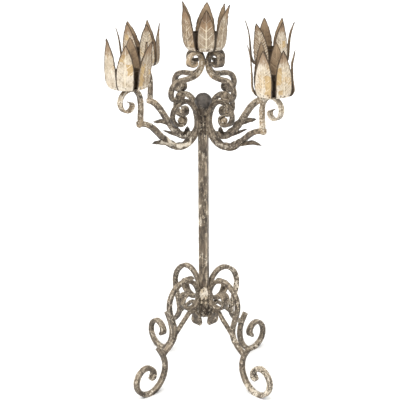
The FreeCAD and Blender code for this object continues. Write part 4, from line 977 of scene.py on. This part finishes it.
# ------------------------------------------------------------------------ sheaths
def blade(shape, points, width, thick, up, seed, cup=0.3, n=26, cream=0.3, dark=None):
    """A small pointed leaf along a space curve: width profile along it, hollowed across, closed all round."""
    line = spline(points, n)
    tang = np.gradient(line, axis=0)
    tang /= np.linalg.norm(tang, axis=1)[:, None]
    up = np.asarray(up, float)
    across = np.cross(tang, up)
    across /= np.linalg.norm(across, axis=1)[:, None]
    norm = np.cross(across, tang)
    f = np.linspace(0, 1, n)
    w = eased(f, width) / 2
    th = eased(f, thick) / 2
    nu = 9
    t = np.linspace(-1, 1, nu)
    top, bot = [], []
    for i in range(n):
        hollow = cup * w[i] * (t ** 2)
        rag = 0.12 * noise3(np.stack([np.full(nu, f[i] * 30), t * 4, np.full(nu, seed * 5.3)], 1), 2.0, seed)
        edge_th = th[i] * (1 - 0.55 * np.abs(t))
        mid = line[i] + np.outer(w[i] * t, across[i]) + np.outer(hollow + rag, norm[i])
        top.append(mid + np.outer(edge_th, norm[i]))
        bot.append(mid - np.outer(edge_th, norm[i]))
    top, bot = np.vstack(top), np.vstack(bot)
    m = n * nu
    faces = []
    for i in range(n - 1):
        for j in range(nu - 1):
            a = i * nu + j
            faces.append((a, a + nu, a + nu + 1, a + 1))
            faces.append((m + a, m + a + 1, m + a + nu + 1, m + a + nu))
        a = i * nu
        faces.append((a, m + a, m + a + nu, a + nu))
        b = a + nu - 1
        faces.append((b, b + nu, m + b + nu, m + b))
    for j in range(nu - 1):
        faces.append((j, j + 1, m + j + 1, m + j))
        a = (n - 1) * nu + j
        faces.append((a, m + a, m + a + 1, a + 1))
    d = 0.0 if dark is None else np.tile(np.repeat(eased(f, dark), nu), 2)
    e = np.tile(np.tile(np.abs(t) ** 3, n), 2)
    shape.add(np.vstack([top, bot]), faces, edge=e, cream=cream, dark=d)


def sheath(shape, rows, place, seed, reach=(29.0, 104.0), tone=0.6):
    """Leaf wrapped round the underside of the arm: a trough with lobed, ragged upper edges."""
    line = walk(rows, 1.2)
    line = line[(line[:, 0] >= reach[0]) & (line[:, 0] <= reach[1])]
    # keep the run below the volute only
    cut = np.argmax(np.diff(line[:, 3]) > 5.0) if (np.diff(line[:, 3]) > 5.0).any() else len(line) - 1
    line = line[:cut + 1]
    n, nu = len(line), 27
    s = line[:, 3] - line[0, 3]
    f = s / s[-1]
    a = line[:, 2]
    # below is to the left of the inward heading
    nx, nz = np.sin(a), -np.cos(a)
    t = np.linspace(-1, 1, nu)
    lobes = 0.5 + 0.5 * np.cos(2 * math.pi * s / 21.0 + seed)
    left = 0.95 + 0.35 * lobes + 0.22 * noise3(np.stack([s, np.full(n, 3.0), np.full(n, seed * 3.1)], 1), 6.0, seed)
    right = 0.95 + 0.35 * (0.5 + 0.5 * np.cos(2 * math.pi * s / 24.0 + 2 + seed)) + 0.22 * noise3(np.stack([s, np.full(n, 9.0), np.full(n, seed * 3.1)], 1), 6.0, seed + 1)
    ends = smooth(f, 0.0, 0.12) * smooth(1 - f, 0.0, 0.16)
    left, right = left * (0.35 + 0.65 * ends), right * (0.35 + 0.65 * ends)
    outer, inner = [], []
    for i in range(n):
        ang = np.where(t < 0, t * left[i], t * right[i]) * (math.pi / 2)
        # rounded square round the bar, widening a little where the lobes stand away
        half = 4.65
        e = 5.0
        ca, sa = np.cos(ang), np.sin(ang)
        rad = half / (np.abs(ca) ** e + np.abs(sa) ** e) ** (1 / e)
        stand = 0.25 + 0.8 * smooth(np.abs(ang), 0.9, 2.2) + 0.22 * noise3(np.stack([np.full(nu, s[i]), t * 9, np.full(nu, seed * 1.7)], 1), 5.0, seed + 3)
        thick = 1.0 + (1.4 + 2.1 * ends[i]) * np.clip(ca, 0, 1) * (0.75 + 0.25 * math.cos(2 * math.pi * s[i] / 23.0 + seed)) + 0.4 * noise3(np.stack([np.full(nu, s[i]), t * 12, np.full(nu, seed * 2.9)], 1), 3.2, seed + 4)
        thick = np.maximum(thick, 0.7) * (1 - 0.45 * np.abs(t) ** 4)
        for rr, bag in ((rad + np.maximum(stand, 0.05), inner), (rad + np.maximum(stand, 0.05) + thick, outer)):
            bag.append(np.stack([line[i, 0] + nx[i] * rr * ca, rr * sa, line[i, 1] + nz[i] * rr * ca], 1))
    pts = np.vstack(outer + inner)
    m = n * nu
    faces = []
    for i in range(n - 1):
        for j in range(nu - 1):
            q = i * nu + j
            faces.append((q, q + 1, q + nu + 1, q + nu))
            faces.append((m + q, m + q + nu, m + q + nu + 1, m + q + 1))
        q = i * nu
        faces.append((q, q + nu, m + q + nu, m + q))
        q = q + nu - 1
        faces.append((q, m + q, m + q + nu, q + nu))
    for j in range(nu - 1):
        faces.append((j, m + j, m + j + 1, j + 1))
        q = (n - 1) * nu + j
        faces.append((q, q + 1, m + q + 1, m + q))
    rim = np.tile(smooth(np.abs(t), 0.8, 1.0), n)
    # darker along the bottom of the trough, in lumps
    low = np.tile(1 - smooth(np.abs(t), 0.14, 0.55), n)
    knots = noise3(np.stack([np.repeat(s, nu), np.tile(t * 9, n), np.full(n * nu, seed * 4.3)], 1), 7.0, seed + 6)
    shape.add(place(pts), faces, edge=np.tile(rim, 2), cream=np.tile(tone * (0.95 - 0.6 * low), 2), dark=np.tile(np.clip(0.2 * rim + low * (0.3 + 0.7 * knots), 0, 0.9), 2))


# Free leaf ends of each sheath: centre line (r, across, z) and width profile along it.
SPOON = [(0, 8.5), (0.3, 12.5), (0.62, 12.0), (0.88, 8.0), (1, 1.6)]
LANCE = [(0, 5.0), (0.3, 10.5), (0.55, 11.5), (0.82, 6.5), (1, 0.7)]
SPIKE = [(0, 7.5), (0.4, 7.0), (0.75, 4.2), (1, 0.6)]
TIPS = {
    "front_left": [([(78, 4.5, 504.5), (94, 6.0, 509.5), (111, 6.0, 514.0), (124, 5.0, 516.5), (134, 4.0, 517.0)], SPOON, 1.0),
                   ([(66, 2.0, 495.0), (78, 3.0, 498.0), (88, 4.0, 502.5), (97, 4.0, 508.0)], SPIKE, 1.0)],
    "front_right": [([(104, -3.0, 508.0), (120, -4.5, 514.5), (139, -4.0, 519.5), (159, -2.0, 518.0)], LANCE, -1.0),
                    ([(62, -2.0, 494.0), (76, -3.0, 494.5), (90, -3.5, 498.0), (100, -3.0, 503.5)], SPIKE, -1.0)],
    "back_left": [([(98, 2.0, 512.0), (112, 4.5, 516.5), (128, 5.0, 514.0), (146, 3.5, 510.6)], LANCE, 1.0),
                  ([(72, 2.0, 495.5), (86, 3.5, 496.5), (102, 3.5, 497.5), (118, 2.5, 498.0)], SPIKE, 1.0)],
    "back_right": [([(100, -2.0, 513.0), (116, -4.5, 518.0), (130, -5.0, 518.0), (145, -3.5, 517.4)], LANCE, -1.0),
                   ([(74, -2.0, 496.0), (90, -3.5, 498.0), (106, -3.5, 500.0), (121, -2.5, 501.2)], SPIKE, -1.0)],
}
SHEATH_TONE = {"front_left": 0.85, "front_right": 0.5, "back_left": 0.55, "back_right": 0.35}
for index, (quarter, angle) in enumerate(QUARTERS):
    wrap = Shape()
    tone = SHEATH_TONE[quarter]
    here = lambda p, a=angle: turn_z(p, a)
    sheath(wrap, arm_rows(RISE[quarter])[1:7], here, 500 + index, tone=tone)
    for j, (path, wide, sign) in enumerate(TIPS[quarter]):
        pts = turn_z(np.array(path, float), angle)
        face = turn_z(np.array([[0.0, 0.62 * sign, 0.78]]), angle)[0]
        blade(wrap, pts, wide, [(0, 2.8), (0.5, 2.2), (1, 1.0)], face, 520 + 10 * index + j, cup=0.28, cream=0.65 * tone, dark=[(0, 0.0), (0.7, 0.1), (1, 0.55)])
    if quarter.startswith("back"):
        barb = turn_z(np.array([(58.0, 0, 498.5), (52.0, 0, 503.5), (48.5, 0, 510.5), (46.5, 0, 519.5)]), angle)
        face = turn_z(np.array([[-1.0, 0.0, 0.35]]), angle)[0]
        blade(wrap, barb, [(0, 14.0), (0.4, 20.0), (0.7, 13.0), (1, 0.7)], [(0, 2.8), (0.6, 2.2), (1, 1.0)], face, 560 + index, cup=0.2, cream=0.4, dark=[(0, 0.05), (1, 0.2)])
    wrap.build("visual_arm_leaf_" + quarter, SHEATH, "frame", "arm_leaf_" + quarter, "iron_bar")

# ------------------------------------------------------------------------ floor, light, camera
mesh = bpy.data.meshes.new("studio_floor")
mesh.from_pydata([(-14, -14, 0), (14, -14, 0), (14, 14, 0), (-14, 14, 0)], [], [(0, 1, 2, 3)])
floor = bpy.data.objects.new("studio_floor", mesh)
bpy.context.scene.collection.objects.link(floor)
fl = Paint("studio_white")
tint = fl.mix(fl.noise(900, 2), (0.93, 0.93, 0.925, 1), (0.95, 0.95, 0.945, 1))
fl.put(fl.bsdf.inputs["Base Color"], tint)
fl.bsdf.inputs["Roughness"].default_value = 0.9
fl.bsdf.inputs["Specular IOR Level"].default_value = 0.1
mesh.materials.append(fl.mat)
floor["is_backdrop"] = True

scene = bpy.context.scene
scene.view_settings.view_transform = "Standard"
world = bpy.data.worlds.new("studio")
scene.world = world
world.use_nodes = True
world.node_tree.nodes["Background"].inputs[0].default_value = (1.0, 0.995, 0.985, 1)
world.node_tree.nodes["Background"].inputs[1].default_value = 0.58


def sun(name, azimuth, elevation, strength, spread, color=(1, 1, 1)):
    """Broad soft light from a direction given in degrees round the part."""
    data = bpy.data.lights.new(name, "SUN")
    data.energy = strength
    data.angle = math.radians(spread)
    data.color = color
    obj = bpy.data.objects.new(name, data)
    a, e = math.radians(azimuth), math.radians(elevation)
    d = Vector((math.cos(a) * math.cos(e), math.sin(a) * math.cos(e), math.sin(e)))
    obj.rotation_euler = d.to_track_quat("Z", "Y").to_euler()
    obj.location = d * 3
    scene.collection.objects.link(obj)


# the camera stands at azimuth 226.8; the key light comes from its upper left
sun("key_light", 188, 50, 1.8, 60, (1.0, 0.985, 0.96))
sun("fill_light", 275, 30, 0.3, 80, (0.97, 0.985, 1.0))
sun("top_light", 226, 80, 1.8, 100)

turn = math.radians(-43.17)
pitch, yaw, roll = 0.3105, -0.0036, -0.0051
fwd = Vector((math.sin(yaw) * math.cos(pitch), math.cos(yaw) * math.cos(pitch), -math.sin(pitch)))
right = Vector((math.cos(yaw), -math.sin(yaw), 0))
up = right.cross(fwd)
r2 = math.cos(roll) * right + math.sin(roll) * up
u2 = -math.sin(roll) * right + math.cos(roll) * up
spin = Matrix.Rotation(turn, 3, "Z")
cam_data = bpy.data.cameras.new("camera")
cam_data.sensor_width = 36.0
cam_data.lens = 1060.7 / 400.0 * 36.0
cam_data.clip_start, cam_data.clip_end = 0.05, 60.0
cam = bpy.data.objects.new("camera", cam_data)
scene.collection.objects.link(cam)
eye = spin @ Vector((0.0, -2.0016, 1.0187))
rot = spin @ Matrix((r2, u2, -fwd)).transposed()
cam.matrix_world = Matrix.Translation(eye) @ rot.to_4x4()
scene.camera = cam

bpy.context.view_layer.update()
low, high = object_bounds()
